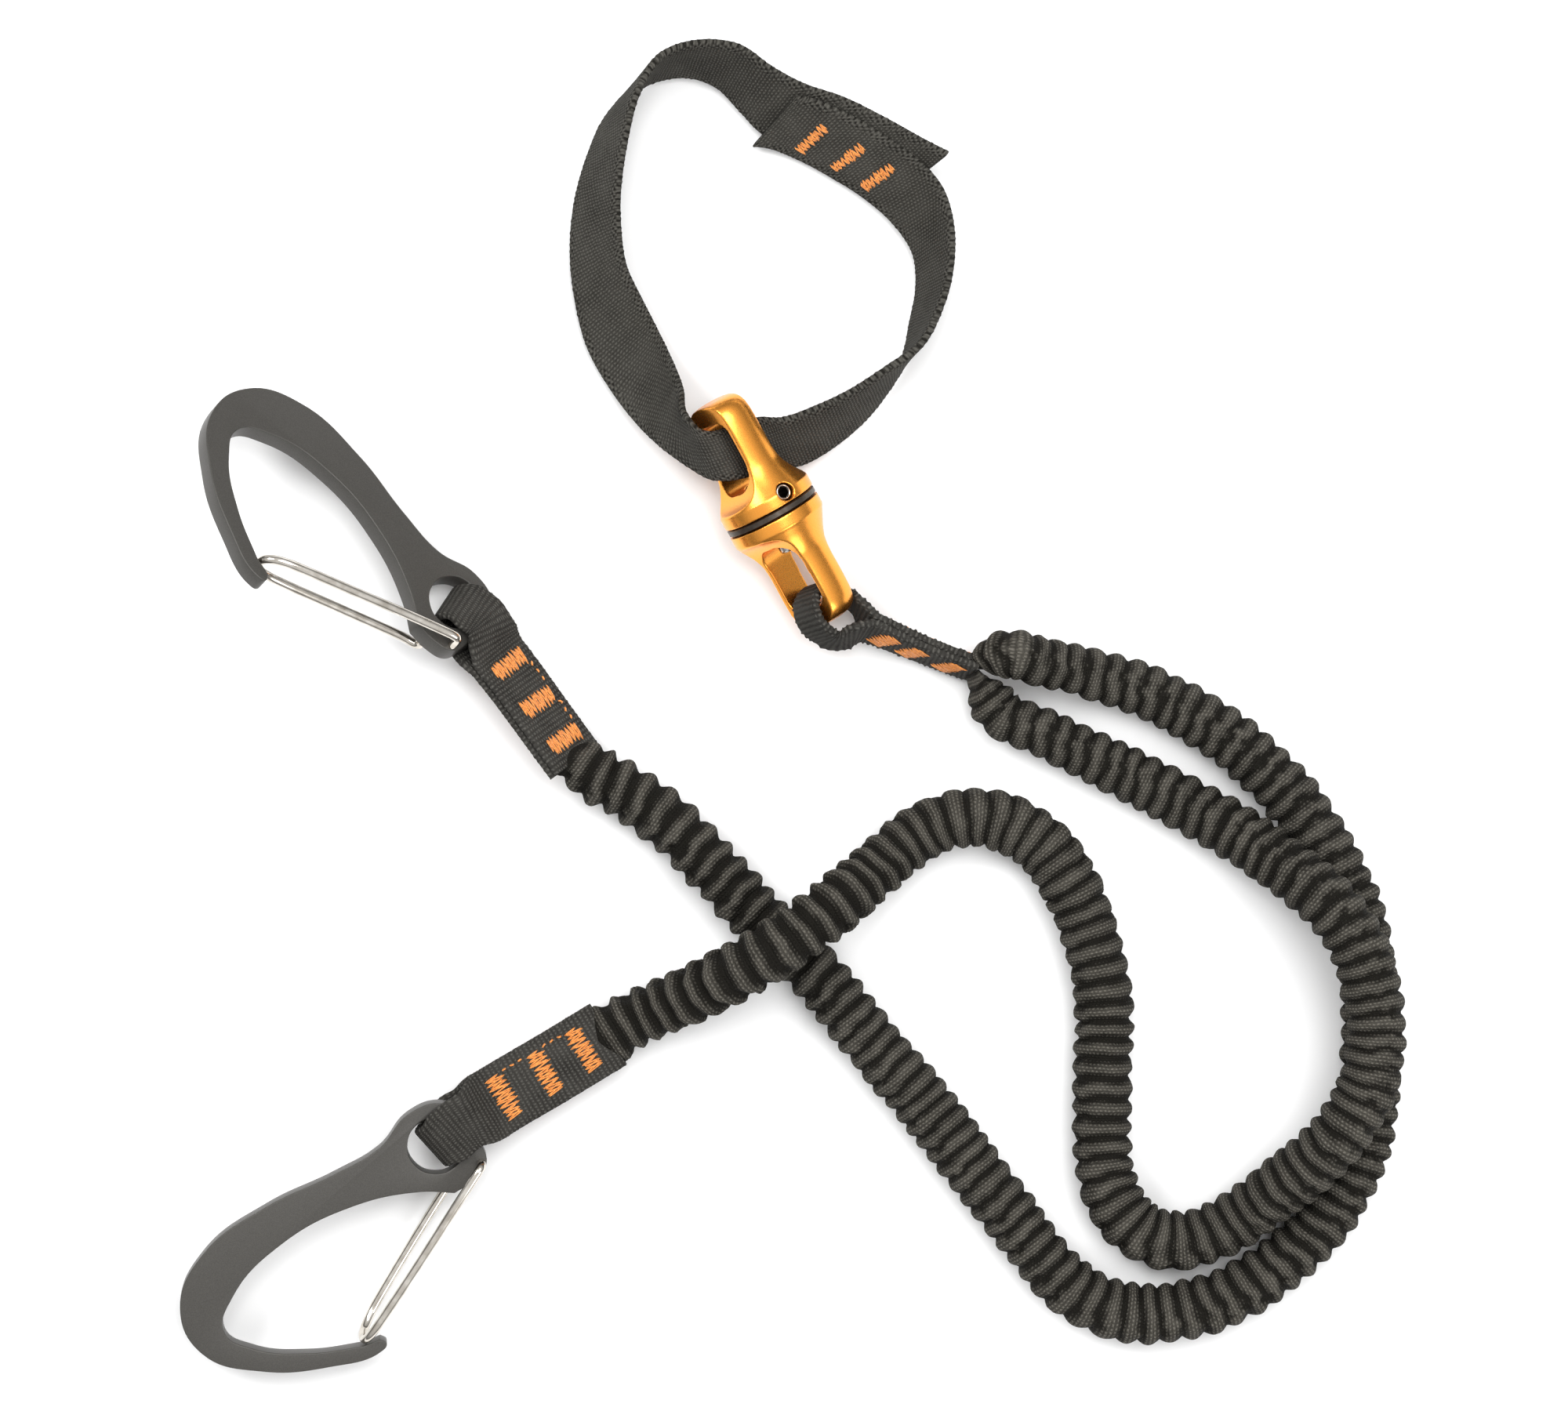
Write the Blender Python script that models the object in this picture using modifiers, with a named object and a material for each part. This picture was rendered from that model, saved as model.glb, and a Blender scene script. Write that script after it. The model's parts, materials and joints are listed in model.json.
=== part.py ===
"""Twin-arm elastic tool leash: a webbing sling, a ball-bearing swivel, a sewn join tab,
two elastic arms in ruffled sleeves and, on each arm, a sewn tab with a flat-plate carabiner.

Units: metres, +Z up, the leash lies on z = 0. Names below that end in _MM hold millimetres.
"""

import math

import bmesh
import bpy
from mathutils import Matrix, Vector

MM = 0.001
GAP = 0.3 * MM

# Webbing
WEB_T = 2.0 * MM
TAB_WIDTHS = (15.6 * MM, 12.4 * MM, 18.0 * MM)    # at the fold, at its narrowest, and when flat
JOIN_WIDTHS = (9.2 * MM, 9.2 * MM, 13.0 * MM)
TAB_HALF = 1.65 * MM      # from a tab's middle plane to the middle of either layer
SLING_W = 19.5 * MM
TACK_SIZE = (4.5 * MM, 10.0 * MM, 0.8 * MM)
TACK_GAP = 0.55 * MM      # under a tack, since its box is flat and the webbing bends a little
TACK_PLACES = (17.5 * MM, 29.5 * MM, 41.0 * MM)
JOIN_TACK_PLACES = (17.8 * MM, 25.5 * MM, 35.5 * MM)
JOIN_SKEW = math.radians(28)
JOIN_FOLD_R = 7.0 * MM
SLING_TACK_SIZE = (3.0 * MM, 10.0 * MM, 0.8 * MM)
SLING_TACK_STATIONS = (1.7, 2.85, 3.8)    # counted along SLING_RIMS_MM

# Carabiners
PLATE_T = 5.2 * MM
EYE_CENTRE = (4.1 * MM, -1.0 * MM)
EYE_R = 7.2 * MM
EYE_BAR_X = -4.9 * MM     # middle of the bar between the eye and the plate's end
FOLD_X = 0.4 * MM         # middle of the webbing fold that threads the eye
FOLD_R = 4.9 * MM
PIVOT = (-0.8 * MM, 9.9 * MM)
PIN_HOLE_R = 1.35 * MM
WIRE_R = 1.0 * MM

# Swivel, along its own axis from the seam
FLANGE_R = 12.4 * MM
ARM_R = 9.0 * MM
RING_HALF = 0.9 * MM
BODY_START = 1.2 * MM
BODY_END = 31.5 * MM
SLAB_HALF = 4.4 * MM
EYE_HALF = 6.0 * MM
EYE_NEAR = 8.0 * MM
EYE_FAR = 26.5 * MM
CAVITY_R = 9.2 * MM
CAVITY_END = 5.8 * MM
AXLE_R = 3.0 * MM
BALL_R = 1.1 * MM
BALL_RING_R = 6.2 * MM
BALLS = 8
SCREW_R = 2.05 * MM

# Arms
SLEEVE_R = 7.3 * MM
SLEEVE_WALL = 2.2 * MM
CORE_R = 3.9 * MM

# Places and directions in the leash's own frame
SWIVEL_AT = Vector((46.2, 49.2, 15.6)) * MM
SWIVEL_AXIS = Vector((-0.477, 0.865, 0.156)).normalized()
UPPER_ROLL = math.radians(57)
LOWER_ROLL = math.radians(50)
SCREW_ROLL = math.radians(64)
# Each carabiner: where its plate's own origin lies, its heading, its pitch and its tilt
LOW_AT = Vector((-35.3, -109.4, 11.6)) * MM
LOW_TURNS = (math.radians(-139), 0, math.radians(-8.4))
HIGH_AT = Vector((-32.6, 22.0, 10.9)) * MM
HIGH_TURNS = (math.radians(141), math.radians(-10), math.radians(40.3))
LEASH_SHIFT = Vector((1.9, 1.1, 0)) * MM

PLATE_OUTLINE_MM = [
    (8.6, 11.4, "corner"), (15, 5.3), (30, -3.2), (50, -7.9), (68, -5.8), (75.9, -0.5), (72.5, 6.8),
    (63, 17.6), (51.6, 25.6, "corner"), (47.3, 27.2, "corner"), (47.0, 29.8), (49.5, 30.6),
    (62, 24.7), (76, 14.3), (83.5, 0), (79.5, -12.6), (66, -19.2), (46, -17.7), (28, -12.6),
    (15, -10.1), (4, -11.8), (-4.2, -8.2), (-6.7, -1), (-4.6, 6.6), (-2.4, 11.0), (2.5, 12.2),
]

ARM_A_ROUTE_MM = [
    (106.5, 13.2, 13.6), (113.5, 11.4, 12), (120, 10, 9.8), (129.5, 7.6, 8), (140, 4.2, 7.6),
    (150, -0.4, 7.6), (160.5, -7, 7.6), (169.5, -14, 7.6), (177.5, -22.2, 7.6), (184, -31, 7.6),
    (190.8, -43, 7.6), (196.4, -56, 7.6), (198.4, -70, 7.6), (198.8, -86, 7.6), (198.4, -101, 7.6),
    (195.8, -115, 7.6), (190, -127, 7.6), (181, -138, 7.6), (169.4, -147, 7.6), (158, -152.4, 7.6),
    (145.4, -155, 7.6), (133.4, -154, 7.6), (123.4, -149, 7.6), (115.6, -141, 7.6),
    (106.8, -129.5, 7.6), (95.4, -115, 7.6), (85.4, -102, 7.6), (76, -90.8, 7.6), (66.6, -79.4, 7.6),
    (58.4, -69.4, 7.6), (49.4, -60.6, 7.6), (40.4, -51.4, 7.6), (31, -41, 7.6), (22.4, -32, 7.6),
    (15, -26, 7.7), (8, -21.2, 8.2), (1.6, -17.6, 8.8),
]

ARM_B_ROUTE_MM = [
    (104, -1.2, 7.5), (109, -4.1, 7.5), (116, -7.2, 7.6), (125, -11.6, 7.6), (134.5, -16.2, 7.6),
    (144, -21, 7.7), (153.5, -26, 8.6), (162, -31, 11), (170.5, -36.8, 14.8), (179, -43.2, 18.9),
    (187, -50.4, 22), (193, -59, 23), (196.6, -69, 23.1), (198.2, -81, 23.1), (196.4, -95, 23.1),
    (189.8, -107, 21.6), (182.6, -115.4, 18), (175, -122.4, 13.4), (166.6, -129.6, 9.2),
    (157, -135, 7.7), (147, -136.4, 7.6), (138, -132.2, 7.6), (132.2, -122.4, 7.6),
    (130.4, -110, 7.6), (130.6, -95, 7.6), (131, -79, 7.6), (129.6, -67, 7.6), (126.6, -56, 7.6),
    (122.2, -45.4, 7.6), (115.8, -36.4, 7.6), (107.2, -30.6, 7.6), (97.4, -28.6, 7.6),
    (87.6, -30.6, 7.8), (79, -36.2, 9.4), (71, -43, 13.2), (63.4, -49.4, 18.2), (55.4, -55.4, 22.0),
    (47, -61.2, 23.1), (38, -66.8, 20.6), (29.6, -71.4, 15), (20.6, -75.6, 10), (14.6, -78.4, 8.2),
    (9.6, -80.8, 7.8),
]

HIGH_TAB_ROUTE_MM = [(-26.7, 16.4, 10.2), (-19.0, 6.4, 9.7), (-10.4, -5.4, 9.5), (-3.8, -14.4, 9.4)]
HIGH_TAB_WIDTH = Vector((-0.81 * 0.695, -0.58 * 0.695, 0.719))
LOW_TAB_ROUTE_MM = [(-29.4, -104.0, 11.0), (-20.0, -98.4, 9.4), (-8.6, -91.8, 8.0), (4.6, -83.8, 7.7)]
LOW_TAB_WIDTH = Vector((-0.53, 0.848, 0.05))
JOIN_ROUTE_MM = [(66.2, 21.6, 9.8), (71.6, 19.8, 9.2), (82.4, 15.2, 8.4), (93.2, 11, 8), (98.6, 9.2, 8)]
JOIN_WIDTH = Vector((0.374 * 0.28, 0.927 * 0.28, 0.96))

# Sling, both rims of the standing tape: lower rim x, y, z, then upper rim x, y. In the swivel's
# upper eye the rims are given in the eye's own frame instead: across, through and along for each
SLING_RIMS_MM = [
    (41.4, 143.4, 2.0, 52.8, 154.6),
    (46.6, 142.6, 2.0, 57.2, 153.6),
    (53.4, 139.8, 1.6, 66.6, 149.8),
    (61.2, 135.6, 1.4, 75.4, 144.6),
    (69.2, 130.6, 1.4, 83.4, 138.8),
    (77.0, 124.0, 1.4, 89.6, 131.0),
    (82.6, 116.0, 1.4, 92.0, 121.0),
    (83.6, 107.0, 1.4, 91.6, 109.8),
    (82.0, 97.8, 1.4, 88.6, 99.4),
    (80.2, 89.0, 1.4, 83.6, 90.8),
    (76.0, 81.2, 1.4, 74.2, 84.2),
    (69.8, 73.2, 1.4, 66.0, 79.2),
    (62.0, 66.4, 2.2, 57.6, 75.4),
    (54.6, 62.0, 3.0, 49.4, 72.6),
    (-3.4, -10.5, -9.6, 4.4, -7.6, 5.0),
    (-0.6, -4.8, -8.0, 0.6, -4.8, 5.8),
    (0.0, 0.0, -7.0, 0.0, 0.0, 7.0),
    (0.0, 4.6, -5.8, 0.0, 4.6, 8.2),
    (-2.2, 7.2, -4.2, -1.0, 7.2, 11.4),
    (-7.4, 7.8, -1.4, -4.0, 8.4, 15.4),
    (-12.0, 7.6, 1.6, -6.8, 7.8, 19.2),
    (22.6, 64.4, 10.0, 23.2, 82.0),
    (11.2, 72.6, 5.0, 20.0, 90.0),
    (4.2, 82.0, 1.8, 17.0, 96.4),
    (-1.2, 92.0, 1.4, 13.4, 103.4),
    (-4.0, 103.4, 1.4, 9.4, 111.4),
    (-5.2, 115.4, 1.4, 8.0, 119.8),
    (-4.2, 128.0, 1.4, 7.8, 130.4),
    (-0.8, 140.4, 1.4, 9.6, 143.4),
    (4.2, 150.8, 1.4, 12.6, 155.0),
    (12.8, 158.8, 1.4, 18.4, 164.0),
    (23.4, 161.4, 1.4, 27.4, 167.4),
    (32.2, 158.6, 1.4, 37.8, 166.8),
    (38.4, 152.2, 1.4, 46.4, 161.4),
    (44.2, 146.4, 1.4, 54.6, 157.6),
    (53.6, 142.6, 1.4, 65.2, 154.2),
    (63.2, 138.4, 1.4, 76.6, 148.6),
    (73.4, 134.2, 1.4, 84.6, 143.6),
    (80.8, 133.2, 1.6, 91.0, 139.8),
]


# ---------- scene and materials ----------

def clear_scene():
    for obj in list(bpy.data.objects):
        bpy.data.objects.remove(obj)


def new_collection(name):
    collection = bpy.data.collections.new(name)
    bpy.context.scene.collection.children.link(collection)
    return collection


def new_material(name, colour, roughness, metallic=0.0):
    material = bpy.data.materials.new(name)
    material.use_nodes = True
    shader = material.node_tree.nodes["Principled BSDF"]
    shader.inputs["Base Color"].default_value = (*colour, 1.0)
    shader.inputs["Roughness"].default_value = roughness
    shader.inputs["Metallic"].default_value = metallic
    return material


clear_scene()
PARTS = new_collection("twin_tool_leash")
CUTTERS = new_collection("cutters")
WEBBING = new_material("webbing_charcoal", (0.040, 0.036, 0.030), 0.85)
THREAD = new_material("thread_orange", (0.78, 0.26, 0.03), 0.8)
ANODISED = new_material("anodised_orange", (0.80, 0.27, 0.035), 0.3, 1.0)
PLATE_GREY = new_material("coated_plate", (0.107, 0.100, 0.089), 0.5, 0.6)
STEEL = new_material("bright_steel", (0.75, 0.73, 0.70), 0.2, 1.0)
RING_GREY = new_material("ring_grey", (0.10, 0.08, 0.065), 0.45, 0.8)
RUBBER = new_material("bungee_rubber", (0.16, 0.15, 0.14), 0.9)


def add_object(name, data, material, collection=PARTS, place=None):
    """Link a new object, give it its material, and stand it at place."""
    obj = bpy.data.objects.new(name, data)
    collection.objects.link(obj)
    if place is not None:
        obj.matrix_world = place
    if collection is CUTTERS:
        obj.hide_render = True
        obj.display_type = "WIRE"
    if material is not None:
        obj.data.materials.append(material)
    return obj


def frame_matrix(x_axis, y_axis, origin):
    """A placing matrix with +X along x_axis and +Y as near y_axis as square allows."""
    x_axis = x_axis.normalized()
    z_axis = x_axis.cross(y_axis).normalized()
    y_axis = z_axis.cross(x_axis)
    matrix = Matrix((x_axis, y_axis, z_axis)).transposed().to_4x4()
    matrix.translation = origin
    return matrix


def add_empty(name, matrix):
    empty = bpy.data.objects.new(name, None)
    PARTS.objects.link(empty)
    empty.matrix_world = matrix
    return empty


def hang_on(parent, *children):
    """Parent objects whose matrix is given in the parent's frame."""
    for child in children:
        child.parent = parent


# ---------- shared shapes ----------

def smooth_route(points, spacing):
    """Evenly spaced points on a smooth curve through the given ones."""
    points = [Vector(point) for point in points]
    ends = [2 * points[0] - points[1], *points, 2 * points[-1] - points[-2]]
    fine = []
    for before, start, end, after in zip(ends, ends[1:], ends[2:], ends[3:]):
        for step in range(12):
            t = step / 12
            pull = (end - before) * t + (2 * before - 5 * start + 4 * end - after) * t * t
            pull += (3 * start - before - 3 * end + after) * t ** 3
            fine.append(start + pull / 2)
    fine.append(points[-1])
    return resample(fine, spacing)


def resample(fine, spacing):
    runs = [0.0]
    for start, end in zip(fine, fine[1:]):
        runs.append(runs[-1] + (end - start).length)
    count = max(2, round(runs[-1] / spacing))
    even = []
    index = 0
    for step in range(count + 1):
        target = runs[-1] * step / count
        while index < len(runs) - 2 and runs[index + 1] < target:
            index += 1
        share = (target - runs[index]) / (runs[index + 1] - runs[index])
        even.append(fine[index].lerp(fine[index + 1], share))
    return even


def ribbon(name, rims, material):
    """A strip of webbing from pairs of rim points, given its thickness by Solidify."""
    mesh = bpy.data.meshes.new(name)
    shape = bmesh.new()
    rows = [(shape.verts.new(low), shape.verts.new(high)) for low, high in rims]
    for (low_a, high_a), (low_b, high_b) in zip(rows, rows[1:]):
        shape.faces.new((low_a, low_b, high_b, high_a))
    shape.to_mesh(mesh)
    shape.free()
    obj = add_object(name, mesh, material)
    solidify = obj.modifiers.new("thickness", "SOLIDIFY")
    solidify.thickness = WEB_T
    solidify.offset = 0
    solidify.use_even_offset = True
    return obj


def box(name, size, material, place, collection=PARTS):
    mesh = bpy.data.meshes.new(name)
    shape = bmesh.new()
    bmesh.ops.create_cube(shape, size=1)
    bmesh.ops.scale(shape, vec=size, verts=shape.verts)
    shape.to_mesh(mesh)
    shape.free()
    return add_object(name, mesh, material, collection, place)


def cylinder(name, radius, start, end, material, collection=PARTS, sides=24):
    """A round bar along local Z from start to end."""
    mesh = bpy.data.meshes.new(name)
    shape = bmesh.new()
    lift = Matrix.Translation((0, 0, (start + end) / 2))
    bmesh.ops.create_cone(shape, cap_ends=True, segments=sides, radius1=radius, radius2=radius,
                          depth=end - start, matrix=lift)
    shape.to_mesh(mesh)
    shape.free()
    return add_object(name, mesh, material, collection)


def cut(obj, cutter, operation="DIFFERENCE"):
    boolean = obj.modifiers.new(cutter.name, "BOOLEAN")
    boolean.operation = operation
    boolean.object = cutter


def outline_curve(name, outlines, thickness, material, collection=PARTS, resolution=4):
    """A flat plate from closed outlines, in local XY and centred on z = 0."""
    data = bpy.data.curves.new(name, "CURVE")
    data.dimensions = "2D"
    data.fill_mode = "BOTH"
    data.extrude = thickness / 2
    data.resolution_u = resolution
    for outline in outlines:
        spline = data.splines.new("BEZIER")
        spline.bezier_points.add(len(outline) - 1)
        spline.use_cyclic_u = True
        for point, (x, y, *kind) in zip(spline.bezier_points, outline):
            point.co = (x, y, 0)
            handle = "VECTOR" if kind else "AUTO"
            point.handle_left_type = handle
            point.handle_right_type = handle
    return add_object(name, data, material, collection)


def circle_outline(centre, radius, points=6):
    turns = [2 * math.pi * step / points for step in range(points)]
    return [(centre[0] + radius * math.cos(turn), centre[1] + radius * math.sin(turn)) for turn in turns]


def as_mesh(curve_object):
    """Replace a curve object with a welded mesh object of the same name and place."""
    graph = bpy.context.evaluated_depsgraph_get()
    mesh = bpy.data.meshes.new_from_object(curve_object.evaluated_get(graph))
    shape = bmesh.new()
    shape.from_mesh(mesh)
    bmesh.ops.remove_doubles(shape, verts=shape.verts, dist=1e-6)
    bmesh.ops.recalc_face_normals(shape, faces=shape.faces)
    shape.to_mesh(mesh)
    shape.free()
    name = curve_object.name
    collection = curve_object.users_collection[0]
    place = curve_object.matrix_world.copy()
    bpy.data.objects.remove(curve_object)
    return add_object(name, mesh, None, collection, place)


def tube(name, points, radius, sides_resolution, material, ends=None, capped=True):
    """A round tube along points; ends scales the radius of the first and last points."""
    data = bpy.data.curves.new(name, "CURVE")
    data.dimensions = "3D"
    data.bevel_depth = radius
    data.bevel_resolution = sides_resolution
    data.use_fill_caps = capped
    spline = data.splines.new("POLY")
    spline.points.add(len(points) - 1)
    for place, point in zip(spline.points, points):
        place.co = (*point, 1)
        place.radius = 1
    for index, share in enumerate(ends or ()):
        spline.points[index].radius = share
        spline.points[-1 - index].radius = share
    return add_object(name, data, material)


# ---------- webbing tabs ----------

def ease(share):
    share = min(1.0, max(0.0, share))
    return share * share * (3 - 2 * share)


def mix(start, end, share):
    return start + (end - start) * ease(share)


class Tab:
    """A folded tab: one strip that runs up its front, round a bar at the origin end, and back.

    half is how far each layer lies from the middle plane at the fold. widths are the strip's own
    at the fold, at the narrowest place in the eye and along the flat tab. straight is how far it
    keeps the first before it closes to a flat two-layer tab, and skew is how its tacks slant."""

    def __init__(self, origin, first_width, last_width, route_mm, half, widths, straight, closing, skew=0):
        route = [Vector(point) * MM for point in route_mm]
        first = route[0] - origin
        first = (first - first.dot(first_width) * first_width).normalized()
        route = [origin, origin + first * 5 * MM] + route
        self.path = smooth_route(route, 2.4 * MM)
        self.first_width = first_width
        self.last_width = last_width
        self.half = half
        self.fold_width, self.throat, self.full_width = widths
        self.straight = straight
        self.closing = closing
        self.skew = skew
        self.length = sum((b - a).length for a, b in zip(self.path, self.path[1:]))

    def station(self, distance):
        """Centre, tangent, width direction, normal, half spacing and half width at a distance."""
        share = min(1.0, max(0.0, distance / self.length))
        place = share * (len(self.path) - 1)
        index = min(int(place), len(self.path) - 2)
        centre = self.path[index].lerp(self.path[index + 1], place - index)
        before = self.path[max(index - 1, 0)]
        after = self.path[min(index + 2, len(self.path) - 1)]
        tangent = (after - before).normalized()
        width = self.first_width.lerp(self.last_width, ease(distance / self.length * 1.3))
        width = (width - width.dot(tangent) * tangent).normalized()
        normal = tangent.cross(width)
        closed = (distance - self.straight) / self.closing
        half = mix(self.half, TAB_HALF, closed)
        half_width = mix(self.fold_width, self.full_width, closed * 1.5) / 2
        return centre, tangent, width, normal, half, half_width

    def rims(self):
        steps = [self.length * index / 20 for index in range(21)]
        front = []
        back = []
        for distance in steps:
            centre, _, width, normal, half, half_width = self.station(distance)
            for side, layer in ((1, front), (-1, back)):
                middle = centre + normal * half * side
                layer.append((middle - width * half_width, middle + width * half_width))
        centre, tangent, width, normal, half, half_width = self.station(0)
        fold = []
        for turn in range(20, 180, 20):
            angle = math.radians(turn)
            middle = centre + (normal * math.cos(angle) - tangent * math.sin(angle)) * half
            narrow = mix(half_width, self.throat / 2, math.sin(angle) * 1.2)
            fold.append((middle - width * narrow, middle + width * narrow))
        return front[::-1] + fold + back

    def tack_place(self, distance):
        centre, tangent, width, normal, half, _ = self.station(distance)
        lift = half + WEB_T / 2 + TACK_GAP + TACK_SIZE[2] / 2
        along = tangent * math.cos(self.skew) - width * math.sin(self.skew)
        return frame_matrix(along, width, centre + normal * lift)


def build_tab(prefix, tab, tacks):
    ribbon(prefix + "_webbing", tab.rims(), WEBBING)
    for number, distance in enumerate(tacks, 1):
        box(f"{prefix}_bartack_{number}", TACK_SIZE, THREAD, tab.tack_place(distance))


# ---------- carabiners ----------

def carabiner_frame(at, turns):
    """+X from the eye to the far end, +Y towards the gate; turns are heading, pitch and tilt."""
    frame = Matrix.Translation(at)
    for turn, axis in zip(turns, "ZYX"):
        frame = frame @ Matrix.Rotation(turn, 4, axis)
    return frame


def gate_points():
    """The gate's wire: a pin at each end, two legs, and the loop that meets the nose."""
    half = [
        (-0.8, 9.9, 0.5), (-0.8, 9.9, 4.6), (-0.5, 10.0, 5.7), (0.6, 10.4, 6.2), (4, 11.4, 6.2),
        (12, 13.8, 6.2), (28, 18.6, 6.2), (42, 22.6, 6.2), (46, 23.6, 5.6), (48.8, 24.2, 4.0),
        (50.0, 24.5, 2.0),
    ]
    half = [Vector(point) * MM for point in half]
    other = [Vector((point.x, point.y, -point.z)) for point in reversed(half)]
    return half + other


def build_carabiner(prefix, frame):
    eye_frame = add_empty(prefix + "_eye_axis", frame @ Matrix.Translation((EYE_BAR_X, 0, 0)))
    outline = [(x * MM, y * MM, *kind) for x, y, *kind in PLATE_OUTLINE_MM]
    holes = [circle_outline(EYE_CENTRE, EYE_R), circle_outline(PIVOT, PIN_HOLE_R)]
    plate = outline_curve(prefix + "_carabiner_body", [outline, *holes], PLATE_T, PLATE_GREY)
    plate.location.x = -EYE_BAR_X
    pivot_frame = add_empty(prefix + "_gate_axis", Matrix.Translation((PIVOT[0] - EYE_BAR_X, PIVOT[1], 0)))
    gate_line = [point - Vector((*PIVOT, 0)) for point in gate_points()]
    gate = tube(prefix + "_carabiner_gate", gate_line, WIRE_R, 2, STEEL)
    hang_on(pivot_frame, gate)
    hang_on(eye_frame, plate, pivot_frame)


# ---------- swivel ----------

def turned(name, profile, material, collection=PARTS, steps=32):
    """A solid of revolution about local Z; profile runs down its outer side, top to bottom."""
    mesh = bpy.data.meshes.new(name)
    shape = bmesh.new()
    verts = [shape.verts.new((radius, 0, height)) for radius, height in profile]
    for start, end in zip(verts, verts[1:]):
        shape.edges.new((start, end))
    shape.to_mesh(mesh)
    shape.free()
    obj = add_object(name, mesh, material, collection)
    screw = obj.modifiers.new("turn", "SCREW")
    screw.axis = "Z"
    screw.steps = steps
    screw.render_steps = steps
    screw.use_merge_vertices = True
    screw.merge_threshold = 0.00001
    return obj


def yoke_cutters(name, roll):
    """The flat sides and the eye of a yoke whose bar direction is roll round the axis."""
    side = [
        (SLAB_HALF, 33), (SLAB_HALF, 16.5), (4.9 * MM, 12), (6.6 * MM, 8.2), (9.4 * MM, 5.4),
        (14 * MM, 3.6), (14 * MM, 33),
    ]
    cutters = []
    for sign in (1, -1):
        outline = []
        for across, height in side:
            height = height if height < 1 else height * MM
            outline.append((sign * across, height, "corner"))
        cutters.append(outline_curve(f"{name}_side_{sign + 2}", [outline], 30 * MM, None, CUTTERS, 1))
    eye = []
    for middle, first_turn, radius in ((EYE_FAR - 3 * MM, 0, 3 * MM), (EYE_NEAR + 4.5 * MM, 180, 4.5 * MM)):
        for turn in range(first_turn, first_turn + 181, 30):
            swing = math.radians(turn)
            across = math.copysign(EYE_HALF - radius, math.cos(swing) + 1e-9)
            eye.append((across + radius * math.cos(swing), middle + radius * math.sin(swing), "corner"))
    hole = outline_curve(f"{name}_eye", [eye], 30 * MM, None, CUTTERS, 1)
    standing = Matrix.Rotation(math.pi / 2, 4, "X")
    for cutter in cutters:
        cutter.matrix_world = Matrix.Rotation(roll + math.pi / 2, 4, "Z") @ standing
    hole.matrix_world = Matrix.Rotation(roll, 4, "Z") @ standing
    bpy.context.view_layer.update()
    return [as_mesh(cutter) for cutter in (*cutters, hole)]


def yoke(name, roll, bore_radius, bore_end):
    """A yoke standing on local +Z: a flanged foot, two arms and the bar across their end."""
    profile = [
        (0.01 * MM, BODY_END), (4.6 * MM, BODY_END), (7.2 * MM, BODY_END - 1.4 * MM),
        (8.6 * MM, BODY_END - 4.0 * MM), (ARM_R, BODY_END - 8 * MM), (ARM_R, 14 * MM),
        (9.5 * MM, 11 * MM), (10.8 * MM, 8 * MM), (FLANGE_R, 4.2 * MM), (FLANGE_R, BODY_START),
        (0.01 * MM, BODY_START),
    ]
    body = turned(name, profile, ANODISED)
    body.data.vertices[0].co.x = 0
    body.data.vertices[len(profile) - 1].co.x = 0
    bore = cylinder(name + "_bore", bore_radius, BODY_START - MM, bore_end, None, CUTTERS)
    for cutter in (*yoke_cutters(name, roll), bore):
        cut(body, cutter)
        cutter.parent = body
    return body


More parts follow.
